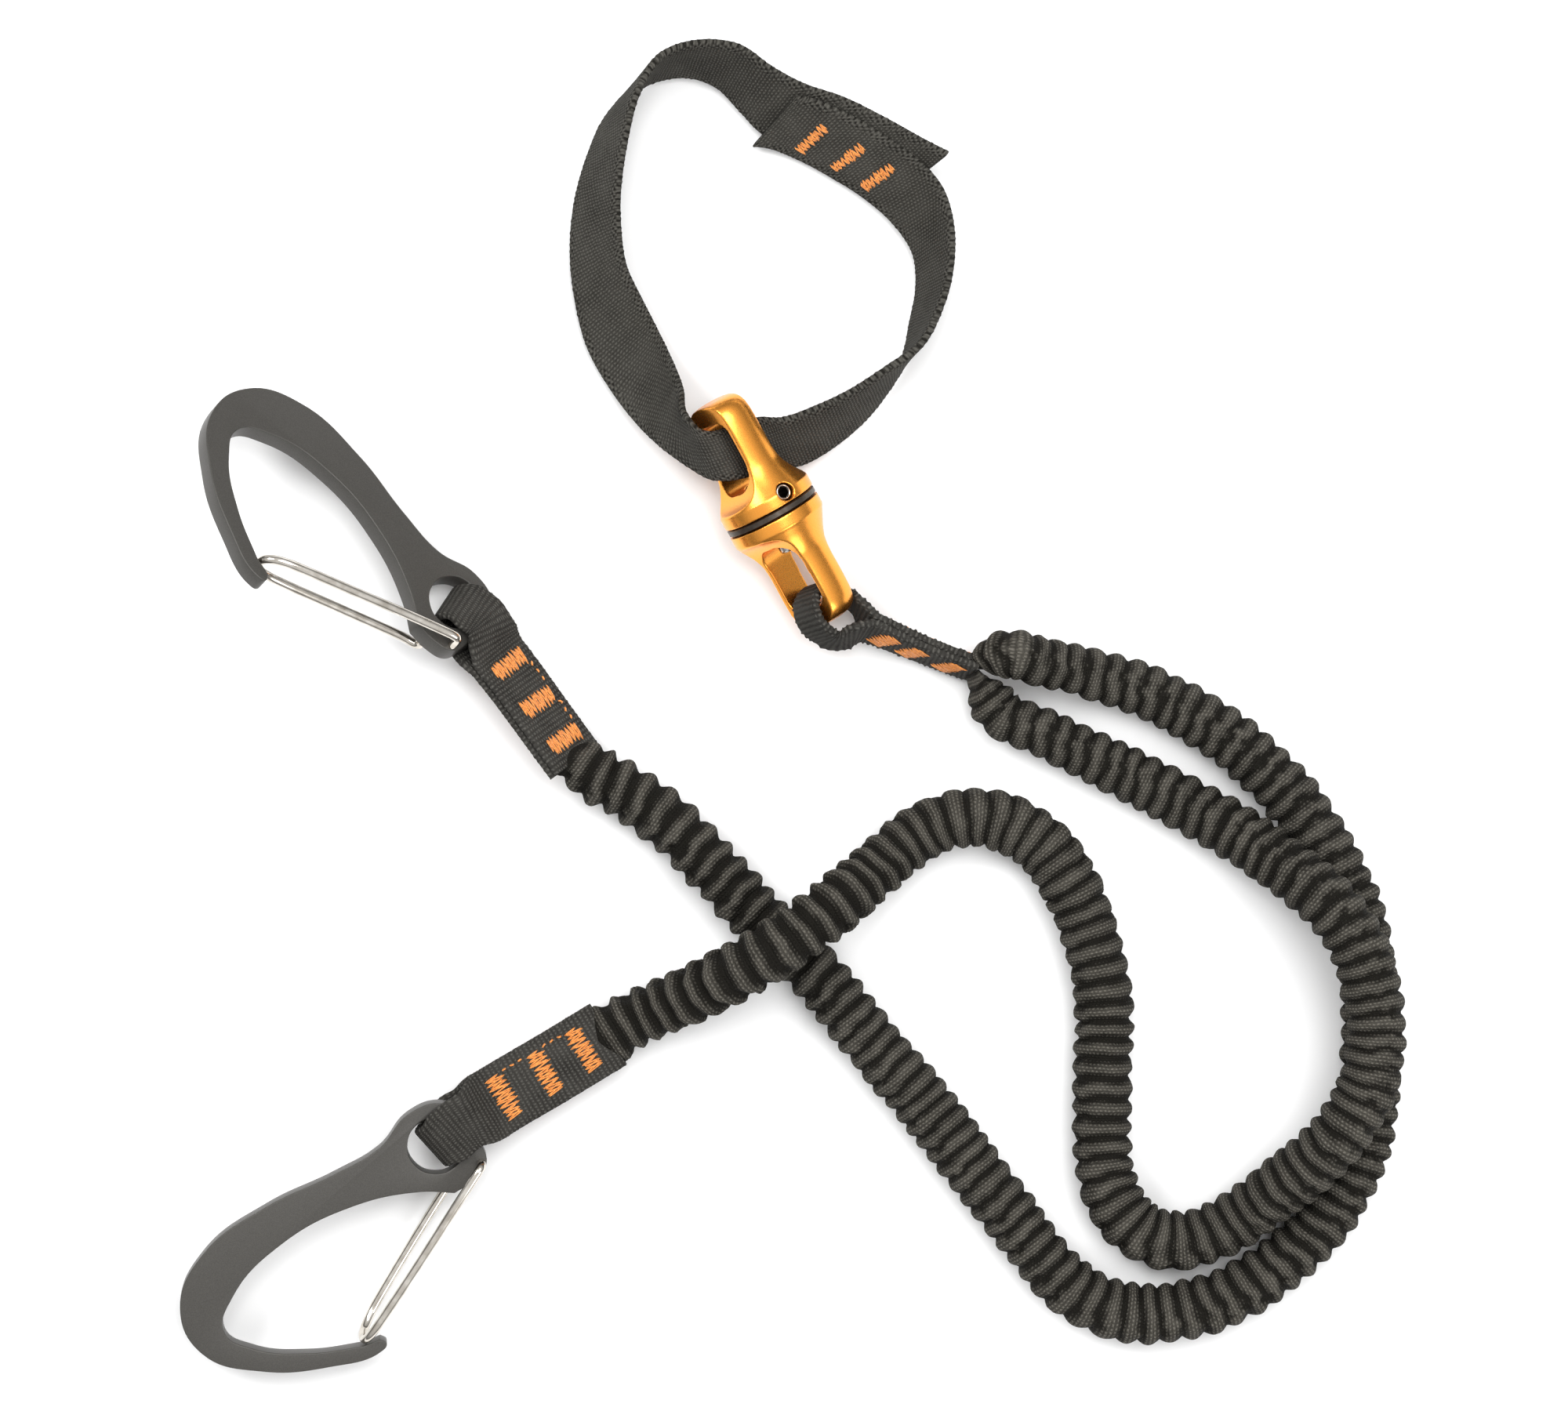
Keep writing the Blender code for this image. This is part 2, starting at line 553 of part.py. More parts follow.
def build_swivel():
    """The swivel stands on an empty whose +Z is its axis, +X level and +Y downwards."""
    across = SWIVEL_AXIS.cross(Vector((0, 0, 1)))
    seam = add_empty("swivel_axis", frame_matrix(across, SWIVEL_AXIS.cross(across), SWIVEL_AT))
    upper = yoke("swivel_upper_body", -UPPER_ROLL, AXLE_R + GAP, EYE_NEAR + MM)
    hole = cylinder("set_screw_hole", SCREW_R + GAP, 2 * MM, 14 * MM, None, CUTTERS, 16)
    screw = cylinder("set_screw", SCREW_R, AXLE_R + GAP, 11.3 * MM, STEEL, sides=16)
    socket = cylinder("set_screw_socket", 1.1 * MM, 9.6 * MM, 13 * MM, None, CUTTERS, 6)
    lean = Matrix.Translation((0, 0, 3.9 * MM)) @ Matrix.Rotation(-SCREW_ROLL, 4, "Z")
    for piece in (hole, screw, socket):
        piece.matrix_world = lean @ Matrix.Rotation(math.pi / 2, 4, "Y")
    cut(upper, hole)
    cut(screw, socket)
    axle = turned("swivel_axle", [
        (0, 7.6 * MM), (AXLE_R, 7.6 * MM), (AXLE_R, -4.9 * MM), (8.6 * MM, -4.9 * MM),
        (8.6 * MM, -5.5 * MM), (AXLE_R, -5.5 * MM), (AXLE_R, -11 * MM), (0, -11 * MM),
    ], STEEL, steps=24)
    hang_on(seam, upper, hole, screw, socket, axle)

    flip = Matrix.Rotation(math.pi, 4, "X")
    lower = yoke("swivel_lower_body", LOWER_ROLL, AXLE_R + GAP, EYE_NEAR + MM)
    cavity = cylinder("bearing_cavity", CAVITY_R, 0, CAVITY_END, None, CUTTERS, 32)
    cut(lower, cavity)
    lower.matrix_world = flip
    cavity.matrix_world = flip
    ring = turned("swivel_bearing_ring", [
        (FLANGE_R, RING_HALF), (FLANGE_R, -RING_HALF), (CAVITY_R - GAP, -RING_HALF),
        (CAVITY_R - GAP, -2.2 * MM), (AXLE_R + GAP, -2.2 * MM), (AXLE_R + GAP, RING_HALF),
        (FLANGE_R, RING_HALF),
    ], RING_GREY)
    hang_on(seam, lower, cavity, ring)
    for number in range(BALLS):
        turn = 2 * math.pi * number / BALLS
        mesh = bpy.data.meshes.new("bearing_ball")
        shape = bmesh.new()
        bmesh.ops.create_uvsphere(shape, u_segments=8, v_segments=5, radius=BALL_R)
        shape.to_mesh(mesh)
        shape.free()
        ball = add_object(f"bearing_ball_{number + 1}", mesh, STEEL)
        ball.location = (BALL_RING_R * math.cos(turn), BALL_RING_R * math.sin(turn), -3.55 * MM)
        hang_on(seam, ball)


# ---------- sling ----------

def sling_rims(eye_frame):
    """Each rim pair; outside the eye the upper rim is raised until the tape has its full width."""
    rims = []
    for values in SLING_RIMS_MM:
        low = Vector(values[:3]) * MM
        if len(values) == 6:
            rims.append((eye_frame @ low, eye_frame @ (Vector(values[3:]) * MM)))
            continue
        lean = Vector((values[3] - values[0], values[4] - values[1], 0)) * MM
        rise = math.sqrt(max(SLING_W ** 2 - lean.length_squared, (2 * MM) ** 2))
        rims.append((low, low + lean + Vector((0, 0, rise))))
    return rims


def build_sling(eye_frame):
    rims = sling_rims(eye_frame)
    ribbon("sling_webbing", rims, WEBBING)
    for number, station in enumerate(SLING_TACK_STATIONS, 1):
        index = int(station)
        low = rims[index][0].lerp(rims[index + 1][0], station - index)
        high = rims[index][1].lerp(rims[index + 1][1], station - index)
        along = rims[index + 1][0] - rims[index][0]
        place = frame_matrix(along, high - low, low.lerp(high, 0.42))
        lift = WEB_T / 2 + 2 * TACK_GAP + SLING_TACK_SIZE[2] / 2
        place.translation += place.col[2].xyz * lift
        box(f"sling_bartack_{number}", SLING_TACK_SIZE, THREAD, place)


# ---------- arms ----------

def build_arm(prefix, route_mm):
    points = smooth_route([Vector(point) * MM for point in route_mm], 14 * MM)
    sleeve = tube(prefix + "_sleeve", points, SLEEVE_R, 3, WEBBING, ends=(0.8,), capped=False)
    wall = sleeve.modifiers.new("wall", "SOLIDIFY")
    wall.thickness = SLEEVE_WALL
    wall.offset = -1
    tube(prefix + "_core", points, CORE_R, 2, RUBBER, ends=(0.8,))


def main():
    high_frame = carabiner_frame(HIGH_AT, HIGH_TURNS)
    low_frame = carabiner_frame(LOW_AT, LOW_TURNS)
    build_carabiner("upper", high_frame)
    build_carabiner("lower", low_frame)
    tabs = (
        ("upper_tab", high_frame, 1, HIGH_TAB_WIDTH, HIGH_TAB_ROUTE_MM),
        ("lower_tab", low_frame, -1, LOW_TAB_WIDTH, LOW_TAB_ROUTE_MM),
    )
    for prefix, frame, side, last_width, route in tabs:
        fold = frame @ Vector((FOLD_X, EYE_CENTRE[1], 0))
        first_width = frame.col[1].xyz * side
        tab = Tab(fold, first_width, last_width, route, FOLD_R, TAB_WIDTHS, 7 * MM, 8 * MM)
        build_tab(prefix, tab, TACK_PLACES)
    build_swivel()
    up = SWIVEL_AXIS.cross(Vector((0, 0, 1)).cross(SWIVEL_AXIS)).normalized()
    right = SWIVEL_AXIS.cross(up).normalized()
    bar = right * math.cos(LOWER_ROLL) + up * math.sin(LOWER_ROLL)
    bar_at = SWIVEL_AT - SWIVEL_AXIS * (EYE_FAR + BODY_END) / 2
    join = Tab(bar_at, bar, JOIN_WIDTH, JOIN_ROUTE_MM, JOIN_FOLD_R, JOIN_WIDTHS, 5 * MM, 9 * MM, JOIN_SKEW)
    build_tab("join", join, JOIN_TACK_PLACES)
    across = right * math.cos(UPPER_ROLL) + up * math.sin(UPPER_ROLL)
    eye_at = SWIVEL_AT + SWIVEL_AXIS * (EYE_NEAR + EYE_FAR) / 2
    through = across.cross(SWIVEL_AXIS)
    build_sling(Matrix.Translation(eye_at) @ Matrix((across, through, SWIVEL_AXIS)).transposed().to_4x4())
    build_arm("arm_a", ARM_A_ROUTE_MM)
    build_arm("arm_b", ARM_B_ROUTE_MM)
    leash = add_empty("leash_origin", Matrix.Translation(LEASH_SHIFT))
    for obj in list(PARTS.objects):
        if obj.parent is None and obj is not leash:
            obj.parent = leash


main()
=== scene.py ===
"""Looks of the twin-arm elastic tool leash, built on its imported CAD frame.

Metres, +Z up. Names that end in _MM hold millimetres. Shapes are built in the leash's own frame,
as the CAD is, and put in place by SHIFT.
"""

import json
import math
import random

import bmesh
import bpy
from mathutils import Matrix, Vector, noise

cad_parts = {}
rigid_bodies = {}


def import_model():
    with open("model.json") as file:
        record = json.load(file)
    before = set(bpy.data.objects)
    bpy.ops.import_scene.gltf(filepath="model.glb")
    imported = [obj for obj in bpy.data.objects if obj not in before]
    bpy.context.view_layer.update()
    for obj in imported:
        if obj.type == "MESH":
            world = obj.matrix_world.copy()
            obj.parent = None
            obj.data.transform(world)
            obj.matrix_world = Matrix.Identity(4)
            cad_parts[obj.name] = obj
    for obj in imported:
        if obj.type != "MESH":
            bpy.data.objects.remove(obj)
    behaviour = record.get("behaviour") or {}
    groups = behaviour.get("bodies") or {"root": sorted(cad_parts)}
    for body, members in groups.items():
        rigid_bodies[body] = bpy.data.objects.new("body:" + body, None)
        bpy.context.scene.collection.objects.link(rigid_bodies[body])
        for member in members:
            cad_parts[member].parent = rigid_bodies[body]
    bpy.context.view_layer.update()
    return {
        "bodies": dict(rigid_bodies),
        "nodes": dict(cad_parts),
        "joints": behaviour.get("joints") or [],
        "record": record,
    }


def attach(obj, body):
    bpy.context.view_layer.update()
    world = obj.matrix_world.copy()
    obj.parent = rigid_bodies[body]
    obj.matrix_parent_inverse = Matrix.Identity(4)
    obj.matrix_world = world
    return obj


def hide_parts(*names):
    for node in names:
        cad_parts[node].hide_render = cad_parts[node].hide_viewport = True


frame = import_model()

MM = 0.001
GAP = 0.3 * MM
SPLINE_STEPS = 12         # points between two given ones on a smooth curve

# Webbing
TAB_WIDTHS = (14.8 * MM, 12.4 * MM, 18.0 * MM)    # at the fold, at its narrowest, and when flat
JOIN_WIDTHS = (9.2 * MM, 9.2 * MM, 13.0 * MM)
SLING_W = 19.5 * MM
TACK_PLACES = (17.5 * MM, 29.5 * MM, 41.0 * MM)
JOIN_TACK_PLACES = (17.8 * MM, 25.5 * MM, 35.5 * MM)
JOIN_SKEW = math.radians(28)
SLING_TACK_SIZE = (3.0 * MM, 10.0 * MM)
SLING_TACK_STATIONS = (1.7, 2.85, 3.8)    # counted along SLING_RIMS_MM

# Carabiners
PLATE_T = 5.2 * MM
EYE_CENTRE = (4.1 * MM, -1.0 * MM)
EYE_R = 7.2 * MM
FOLD_X = 0.4 * MM         # middle of the webbing fold that threads the eye

# Swivel, along its own axis from the seam
FLANGE_R = 12.4 * MM
ARM_R = 9.0 * MM
RING_HALF = 0.9 * MM
BODY_START = 1.2 * MM
BODY_END = 31.5 * MM
EYE_NEAR = 8.0 * MM
EYE_FAR = 26.5 * MM
CAVITY_R = 9.2 * MM
CAVITY_END = 5.8 * MM
AXLE_R = 3.0 * MM
BALLS = 8
SCREW_R = 2.05 * MM

# Places and directions in the leash's own frame
SWIVEL_AT = Vector((46.2, 49.2, 15.6)) * MM
SWIVEL_AXIS = Vector((-0.477, 0.865, 0.156)).normalized()
UPPER_ROLL = math.radians(57)
LOWER_ROLL = math.radians(50)
SCREW_ROLL = math.radians(64)
# Each carabiner: where its plate's own origin lies, its heading, its pitch and its tilt
LOW_AT = Vector((-35.3, -109.4, 11.6)) * MM
LOW_TURNS = (math.radians(-139), 0, math.radians(-8.4))
HIGH_AT = Vector((-32.6, 22.0, 10.9)) * MM
HIGH_TURNS = (math.radians(141), math.radians(-10), math.radians(40.3))
LEASH_SHIFT = Vector((1.9, 1.1, 0)) * MM

PLATE_OUTLINE_MM = [
    (8.6, 11.4, "corner"), (15, 5.3), (30, -3.2), (50, -7.9), (68, -5.8), (75.3, -0.5), (73.0, 7.2),
    (63.0, 18.0), (51.8, 25.7, "corner"), (47.4, 27.3, "corner"), (46.9, 29.2), (49.3, 29.9),
    (61.4, 24.3), (75.0, 13.6), (83.2, 0), (79.5, -12.6), (66, -19.2), (46, -17.7), (28, -12.6),
    (15, -10.1), (4, -11.8), (-4.2, -8.2), (-6.7, -1), (-4.6, 6.6), (-2.4, 11.0), (2.5, 12.2),
]

ARM_A_ROUTE_MM = [
    (106.5, 13.2, 13.6), (113.5, 11.4, 12), (120, 10, 9.8), (129.5, 7.6, 8), (140, 4.2, 7.6),
    (150, -0.4, 7.6), (160.5, -7, 7.6), (169.5, -14, 7.6), (177.5, -22.2, 7.6), (184, -31, 7.6),
    (190.8, -43, 7.6), (196.4, -56, 7.6), (198.4, -70, 7.6), (198.8, -86, 7.6), (198.4, -101, 7.6),
    (195.8, -115, 7.6), (190, -127, 7.6), (181, -138, 7.6), (169.4, -147, 7.6), (158, -152.4, 7.6),
    (145.4, -155, 7.6), (133.4, -154, 7.6), (123.4, -149, 7.6), (115.6, -141, 7.6),
    (106.8, -129.5, 7.6), (95.4, -115, 7.6), (85.4, -102, 7.6), (76, -90.8, 7.6), (66.6, -79.4, 7.6),
    (58.4, -69.4, 7.6), (49.4, -60.6, 7.6), (40.4, -51.4, 7.6), (31, -41, 7.6), (22.4, -32, 7.6),
    (15, -26, 7.7), (8, -21.2, 8.2), (1.6, -17.6, 8.8),
]

ARM_B_ROUTE_MM = [
    (104, -1.2, 7.5), (109, -4.1, 7.5), (116, -7.2, 7.6), (125, -11.6, 7.6), (134.5, -16.2, 7.6),
    (144, -21, 7.7), (153.5, -26, 8.6), (162, -31, 11), (170.5, -36.8, 14.8), (179, -43.2, 18.9),
    (187, -50.4, 22), (193, -59, 23), (196.6, -69, 23.1), (198.2, -81, 23.1), (196.4, -95, 23.1),
    (189.8, -107, 21.6), (182.6, -115.4, 18), (175, -122.4, 13.4), (166.6, -129.6, 9.2),
    (157, -135, 7.7), (147, -136.4, 7.6), (138, -132.2, 7.6), (132.2, -122.4, 7.6),
    (130.4, -110, 7.6), (130.6, -95, 7.6), (131, -79, 7.6), (129.6, -67, 7.6), (126.6, -56, 7.6),
    (122.2, -45.4, 7.6), (115.8, -36.4, 7.6), (107.2, -30.6, 7.6), (97.4, -28.6, 7.6),
    (87.6, -30.6, 7.8), (79, -36.2, 9.4), (71, -43, 13.2), (63.4, -49.4, 18.2), (55.4, -55.4, 22.0),
    (47, -61.2, 23.1), (38, -66.8, 20.6), (29.6, -71.4, 15), (20.6, -75.6, 10), (14.6, -78.4, 8.2),
    (9.6, -80.8, 7.8),
]

HIGH_TAB_ROUTE_MM = [(-26.7, 16.4, 10.2), (-19.0, 6.4, 9.7), (-10.4, -5.4, 9.5), (-3.8, -14.4, 9.4)]
HIGH_TAB_WIDTH = Vector((-0.81 * 0.695, -0.58 * 0.695, 0.719))
LOW_TAB_ROUTE_MM = [(-29.4, -104.0, 11.0), (-20.0, -98.4, 9.4), (-8.6, -91.8, 8.0), (4.6, -83.8, 7.7)]
LOW_TAB_WIDTH = Vector((-0.53, 0.848, 0.05))
JOIN_ROUTE_MM = [(66.2, 21.6, 9.8), (71.6, 19.8, 9.2), (82.4, 15.2, 8.4), (93.2, 11, 8), (98.6, 9.2, 8)]
JOIN_WIDTH = Vector((0.374 * 0.28, 0.927 * 0.28, 0.96))

# Sling, both rims of the standing tape: lower rim x, y, z, then upper rim x, y. In the swivel's
# upper eye the rims are given in the eye's own frame instead: across, through and along for each
SLING_RIMS_MM = [
    (41.4, 143.4, 2.0, 52.8, 154.6),
    (46.6, 142.6, 2.0, 57.2, 153.6),
    (53.4, 139.8, 1.6, 66.6, 149.8),
    (61.2, 135.6, 1.4, 75.4, 144.6),
    (69.2, 130.6, 1.4, 83.4, 138.8),
    (77.0, 124.0, 1.4, 89.6, 131.0),
    (82.6, 116.0, 1.4, 92.0, 121.0),
    (83.6, 107.0, 1.4, 91.6, 109.8),
    (82.0, 97.8, 1.4, 88.6, 99.4),
    (80.2, 89.0, 1.4, 83.6, 90.8),
    (76.0, 81.2, 1.4, 74.2, 84.2),
    (69.8, 73.2, 1.4, 66.0, 79.2),
    (62.0, 66.4, 2.2, 57.6, 75.4),
    (54.6, 62.0, 3.0, 49.4, 72.6),
    (-3.4, -10.5, -9.6, 4.4, -7.6, 5.0),
    (-0.6, -4.8, -8.0, 0.6, -4.8, 5.8),
    (0.0, 0.0, -7.0, 0.0, 0.0, 7.0),
    (0.0, 4.6, -5.8, 0.0, 4.6, 8.2),
    (-2.2, 7.2, -4.2, -1.0, 7.2, 11.4),
    (-7.4, 7.8, -1.4, -3.6, 6.4, 16.6),
    (19.0, 65.2, 8.5, 23.4, 80.5),
    (11.2, 72.6, 5.0, 20.0, 90.0),
    (4.2, 82.0, 1.8, 17.0, 96.4),
    (-1.2, 92.0, 1.4, 13.4, 103.4),
    (-4.0, 103.4, 1.4, 9.4, 111.4),
    (-5.2, 115.4, 1.4, 8.0, 119.8),
    (-4.2, 128.0, 1.4, 7.8, 130.4),
    (-0.8, 140.4, 1.4, 9.6, 143.4),
    (4.2, 150.8, 1.4, 12.6, 155.0),
    (12.8, 158.8, 1.4, 18.4, 164.0),
    (23.4, 161.4, 1.4, 27.4, 167.4),
    (32.2, 158.6, 1.4, 37.8, 166.8),
    (38.4, 152.2, 1.4, 46.4, 161.4),
    (44.2, 146.4, 1.4, 54.6, 157.6),
    (53.6, 142.6, 1.4, 65.2, 154.2),
    (63.2, 138.4, 1.4, 76.6, 148.6),
    (73.4, 134.2, 1.4, 84.6, 143.6),
    (80.8, 133.2, 1.6, 91.0, 139.8),
]


# ---------- paths ----------

def running(points):
    """Distances along a line of points."""
    runs = [0.0]
    for start, end in zip(points, points[1:]):
        runs.append(runs[-1] + (end - start).length)
    return runs


def through(points):
    """Close points on a Catmull-Rom curve through the given ones."""
    ends = [2 * points[0] - points[1], *points, 2 * points[-1] - points[-2]]
    fine = []
    for before, start, end, after in zip(ends, ends[1:], ends[2:], ends[3:]):
        for step in range(SPLINE_STEPS):
            t = step / SPLINE_STEPS
            pull = (end - before) * t + (2 * before - 5 * start + 4 * end - after) * t * t
            pull += (3 * start - before - 3 * end + after) * t ** 3
            fine.append(start + pull / 2)
    return fine + [points[-1]]


def even_places(runs, count):
    """The piece and the share of it, for count even steps along a line with these distances."""
    index = 0
    for step in range(count + 1):
        target = runs[-1] * step / count
        while index < len(runs) - 2 and runs[index + 1] < target:
            index += 1
        yield index, (target - runs[index]) / (runs[index + 1] - runs[index])


def smooth_route(points, spacing):
    """Evenly spaced points on a smooth curve through the given ones."""
    fine = through([Vector(point) for point in points])
    runs = running(fine)
    count = max(2, round(runs[-1] / spacing))
    return [fine[index].lerp(fine[index + 1], share) for index, share in even_places(runs, count)]


def ease(share):
    share = min(1.0, max(0.0, share))
    return share * share * (3 - 2 * share)


def mix(start, end, share):
    return start + (end - start) * ease(share)


class Tab:
    """A folded tab: one strip that runs up its front, round a bar at the origin end, and back.

    half is how far each layer lies from the middle plane at the fold. widths are the strip's own
    at the fold, at the narrowest place in the eye and along the flat tab. straight is how far it
    keeps the first before it closes to a flat two-layer tab, and skew is how its tacks slant."""

    def __init__(self, origin, first_width, last_width, route_mm, half, widths, straight, closing, skew=0):
        route = [Vector(point) * MM for point in route_mm]
        first = route[0] - origin
        first = (first - first.dot(first_width) * first_width).normalized()
        route = [origin, origin + first * 5 * MM] + route
        self.path = smooth_route(route, 2.4 * MM)
        self.first_width = first_width
        self.last_width = last_width
        self.half = half
        self.fold_width, self.throat, self.full_width = widths
        self.straight = straight
        self.closing = closing
        self.skew = skew
        self.length = sum((b - a).length for a, b in zip(self.path, self.path[1:]))

    def station(self, distance):
        """Centre, tangent, width direction, normal, half spacing and half width at a distance."""
        share = min(1.0, max(0.0, distance / self.length))
        place = share * (len(self.path) - 1)
        index = min(int(place), len(self.path) - 2)
        centre = self.path[index].lerp(self.path[index + 1], place - index)
        before = self.path[max(index - 1, 0)]
        after = self.path[min(index + 2, len(self.path) - 1)]
        tangent = (after - before).normalized()
        width = self.first_width.lerp(self.last_width, ease(distance / self.length * 1.3))
        width = (width - width.dot(tangent) * tangent).normalized()
        normal = tangent.cross(width)
        closed = (distance - self.straight) / self.closing
        half = mix(self.half, JOIN_LAYER_HALF if self.skew else LAYER_HALF, closed)
        half_width = mix(self.fold_width, self.full_width, closed * 1.5) / 2
        return centre, tangent, width, normal, half, half_width

    def rims(self):
        steps = [self.length * index / 20 for index in range(21)]
        front = []
        back = []
        for distance in steps:
            centre, _, width, normal, half, half_width = self.station(distance)
            for side, layer in ((1, front), (-1, back)):
                middle = centre + normal * half * side
                layer.append((middle - width * half_width, middle + width * half_width))
        centre, tangent, width, normal, half, half_width = self.station(0)
        fold = []
        for turn in range(20, 180, 20):
            angle = math.radians(turn)
            middle = centre + (normal * math.cos(angle) - tangent * math.sin(angle)) * half
            narrow = mix(half_width, self.throat / 2, math.sin(angle) * 1.2)
            fold.append((middle - width * narrow, middle + width * narrow))
        return front[::-1] + fold + back

    def face_point(self, distance, across, lift, side):
        centre, _, width, normal, half, _ = self.station(distance)
        return centre + width * across + normal * side * (half + LAYER_T / 2 + lift)


def carabiner_frame(at, turns):
    """+X from the eye to the far end, +Y towards the gate; turns are heading, pitch and tilt."""
    frame = Matrix.Translation(at)
    for turn, axis in zip(turns, "ZYX"):
        frame = frame @ Matrix.Rotation(turn, 4, axis)
    return frame


def sling_rims(eye_frame):
    """Each rim pair; outside the eye the upper rim is raised until the tape has its full width."""
    rims = []
    for values in SLING_RIMS_MM:
        low = Vector(values[:3]) * MM
        if len(values) == 6:
            rims.append((eye_frame @ low, eye_frame @ (Vector(values[3:]) * MM)))
            continue
        lean = Vector((values[3] - values[0], values[4] - values[1], 0)) * MM
        rise = math.sqrt(max(SLING_W ** 2 - lean.length_squared, (2 * MM) ** 2))
        rims.append((low, low + lean + Vector((0, 0, rise))))
    return rims


# ---------- sizes of the visible pieces ----------

SHIFT = Matrix.Translation(LEASH_SHIFT)
HIGH_FRAME = carabiner_frame(HIGH_AT, HIGH_TURNS)
LOW_FRAME = carabiner_frame(LOW_AT, LOW_TURNS)
LAYER_T = 2.1 * MM        # one sewn-down layer of the tabs' webbing
LAYER_HALF = 1.15 * MM    # from a flat tab's middle plane to the middle of either layer
JOIN_LAYER_HALF = 0.9 * MM
TAPE_CELLS = 14           # cells across one face of a tape
SLING_T = 2.0 * MM
THREAD_R = 0.21 * MM
STITCH_SIZE = (5.2 * MM, 11.4 * MM)    # a tack along and across its tab
JOIN_STITCH_ACROSS = 9 * MM
STRAY_ACROSS = {"upper_tab": -6.2 * MM, "lower_tab": 6.2 * MM}    # where loose stitches run
STRAY_PITCH = 2.3 * MM
STRAYS = 3                # loose stitches between two tacks
SLEEVE_OUT = 7.7 * MM     # a pleat's crest from the arm's middle
PLEAT = 4.9 * MM          # from crest to crest
SIDES = 48                # points round a sleeve
GATE_R = 1.15 * MM
PLATE_ROUNDING = 0.32 * MM
EYE_OPEN = 6.4 * MM       # half the width of the swivel's eyes
EYE_CORNERS = (3.6 * MM, 4.8 * MM)     # radii at the far and near ends of the swivel's eyes
LATHE_STEPS = 96
YOKE_VOXEL = 0.25 * MM
SCREW_VOXEL = 0.1 * MM
TAB_FOLD = 4.75 * MM      # radius of the fold round the carabiner's bar, to the layer's middle
JOIN_FOLD = 6.4 * MM
UPPER_TRIM = (0.98, 1.06)    # each carabiner's length and width against the CAD's
LOWER_TRIM = (1.004, 1.0)
TAB_END_SIZE = (8.5 * MM, 2.2 * MM)    # half sizes of a sleeve where it runs into an end tab
JOIN_END_SIZE = (6.0 * MM, 1.3 * MM)   # and where it leaves the join tab
SHARP_FROM = math.radians(30)    # welded edges that turn further than this stay sharp
CAMERA_AT = (0.0513, 0.0011, 1.118)
CAMERA_LENS = 100         # mm, on a sensor 36 mm wide
FLOOR_Z = -0.6 * MM
FLOOR_REACH = 6
random.seed(7)


# ---------- meshes ----------

def new_object(name, data, body, *nodes, material=None, slot=None):
    """Link a piece, let it ride on its body, and stand it for the CAD nodes."""
    piece = bpy.data.objects.new(name, data)
    bpy.context.scene.collection.objects.link(piece)
    if material is not None:
        piece.data.materials.append(material)
    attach(piece, body)
    if nodes:
        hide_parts(*nodes)
    return piece


def ring_faces(rows, count):
    """Faces between rings of count points each, then a cap on the first ring and on the last."""
    faces = []
    for row in range(rows - 1):
        for step in range(count):
            after = (step + 1) % count
            faces.append([row * count + step, row * count + after,
                          (row + 1) * count + after, (row + 1) * count + step])
    faces.append(list(range(count - 1, -1, -1)))
    faces.append([(rows - 1) * count + step for step in range(count)])
    return faces


def skin_mesh(name, rings, along, across, fold_shade=None):
    """A closed skin through rings of equally many points, with UVs in metres.

    The last argument says how far out of the folds each point lies; the sleeve's material darkens its tone by
    it, painted shade in the folds."""
    count = len(rings[0])
    verts = [SHIFT @ point for ring in rings for point in ring]
    uvs = []
    for row in range(len(rings) - 1):
        for side in range(count):
            uvs += [(along[row], across[side]), (along[row], across[side + 1]),
                    (along[row + 1], across[side + 1]), (along[row + 1], across[side])]
    for row, order in ((0, range(count - 1, -1, -1)), (-1, range(count))):
        uvs += [(along[row], across[side]) for side in order]
    mesh = bpy.data.meshes.new(name)
    mesh.from_pydata(verts, [], ring_faces(len(rings), count))
    layer = mesh.uv_layers.new(name="UVMap")
    layer.data.foreach_set("uv", [value for uv in uvs for value in uv])
    if fold_shade:
        mesh.attributes.new("crest", "FLOAT", "POINT").data.foreach_set("value", fold_shade)
    outward(mesh)
    return mesh


def outward(mesh):
    """Turn the faces outward and shade them smooth."""
    shape = bmesh.new()
    shape.from_mesh(mesh)
    bmesh.ops.recalc_face_normals(shape, faces=shape.faces)
    shape.to_mesh(mesh)
    shape.free()
    mesh.polygons.foreach_set("use_smooth", [True] * len(mesh.polygons))


def joined_mesh(name, parts):
    """One mesh from (points, faces) pairs."""
    verts = []
    faces = []
    for points, polygons in parts:
        start = len(verts)
        verts += points
        faces += [[start + index for index in polygon] for polygon in polygons]
    mesh = bpy.data.meshes.new(name)
    mesh.from_pydata(verts, [], faces)
    outward(mesh)
    return mesh


def smooth_rims(rims, spacing):
    """Rim pairs resampled on smooth curves, evenly by the middle line."""
    middles = [(low + high) / 2 for low, high in rims]
    count = max(2, round(running(middles)[-1] / spacing))
    pairs = list(zip(*(through([rim[which] for rim in rims]) for which in (0, 1))))
    runs = running([(low + high) / 2 for low, high in pairs])
    return [tuple(a.lerp(b, share) for a, b in zip(pairs[index], pairs[index + 1]))
            for index, share in even_places(runs, count)]


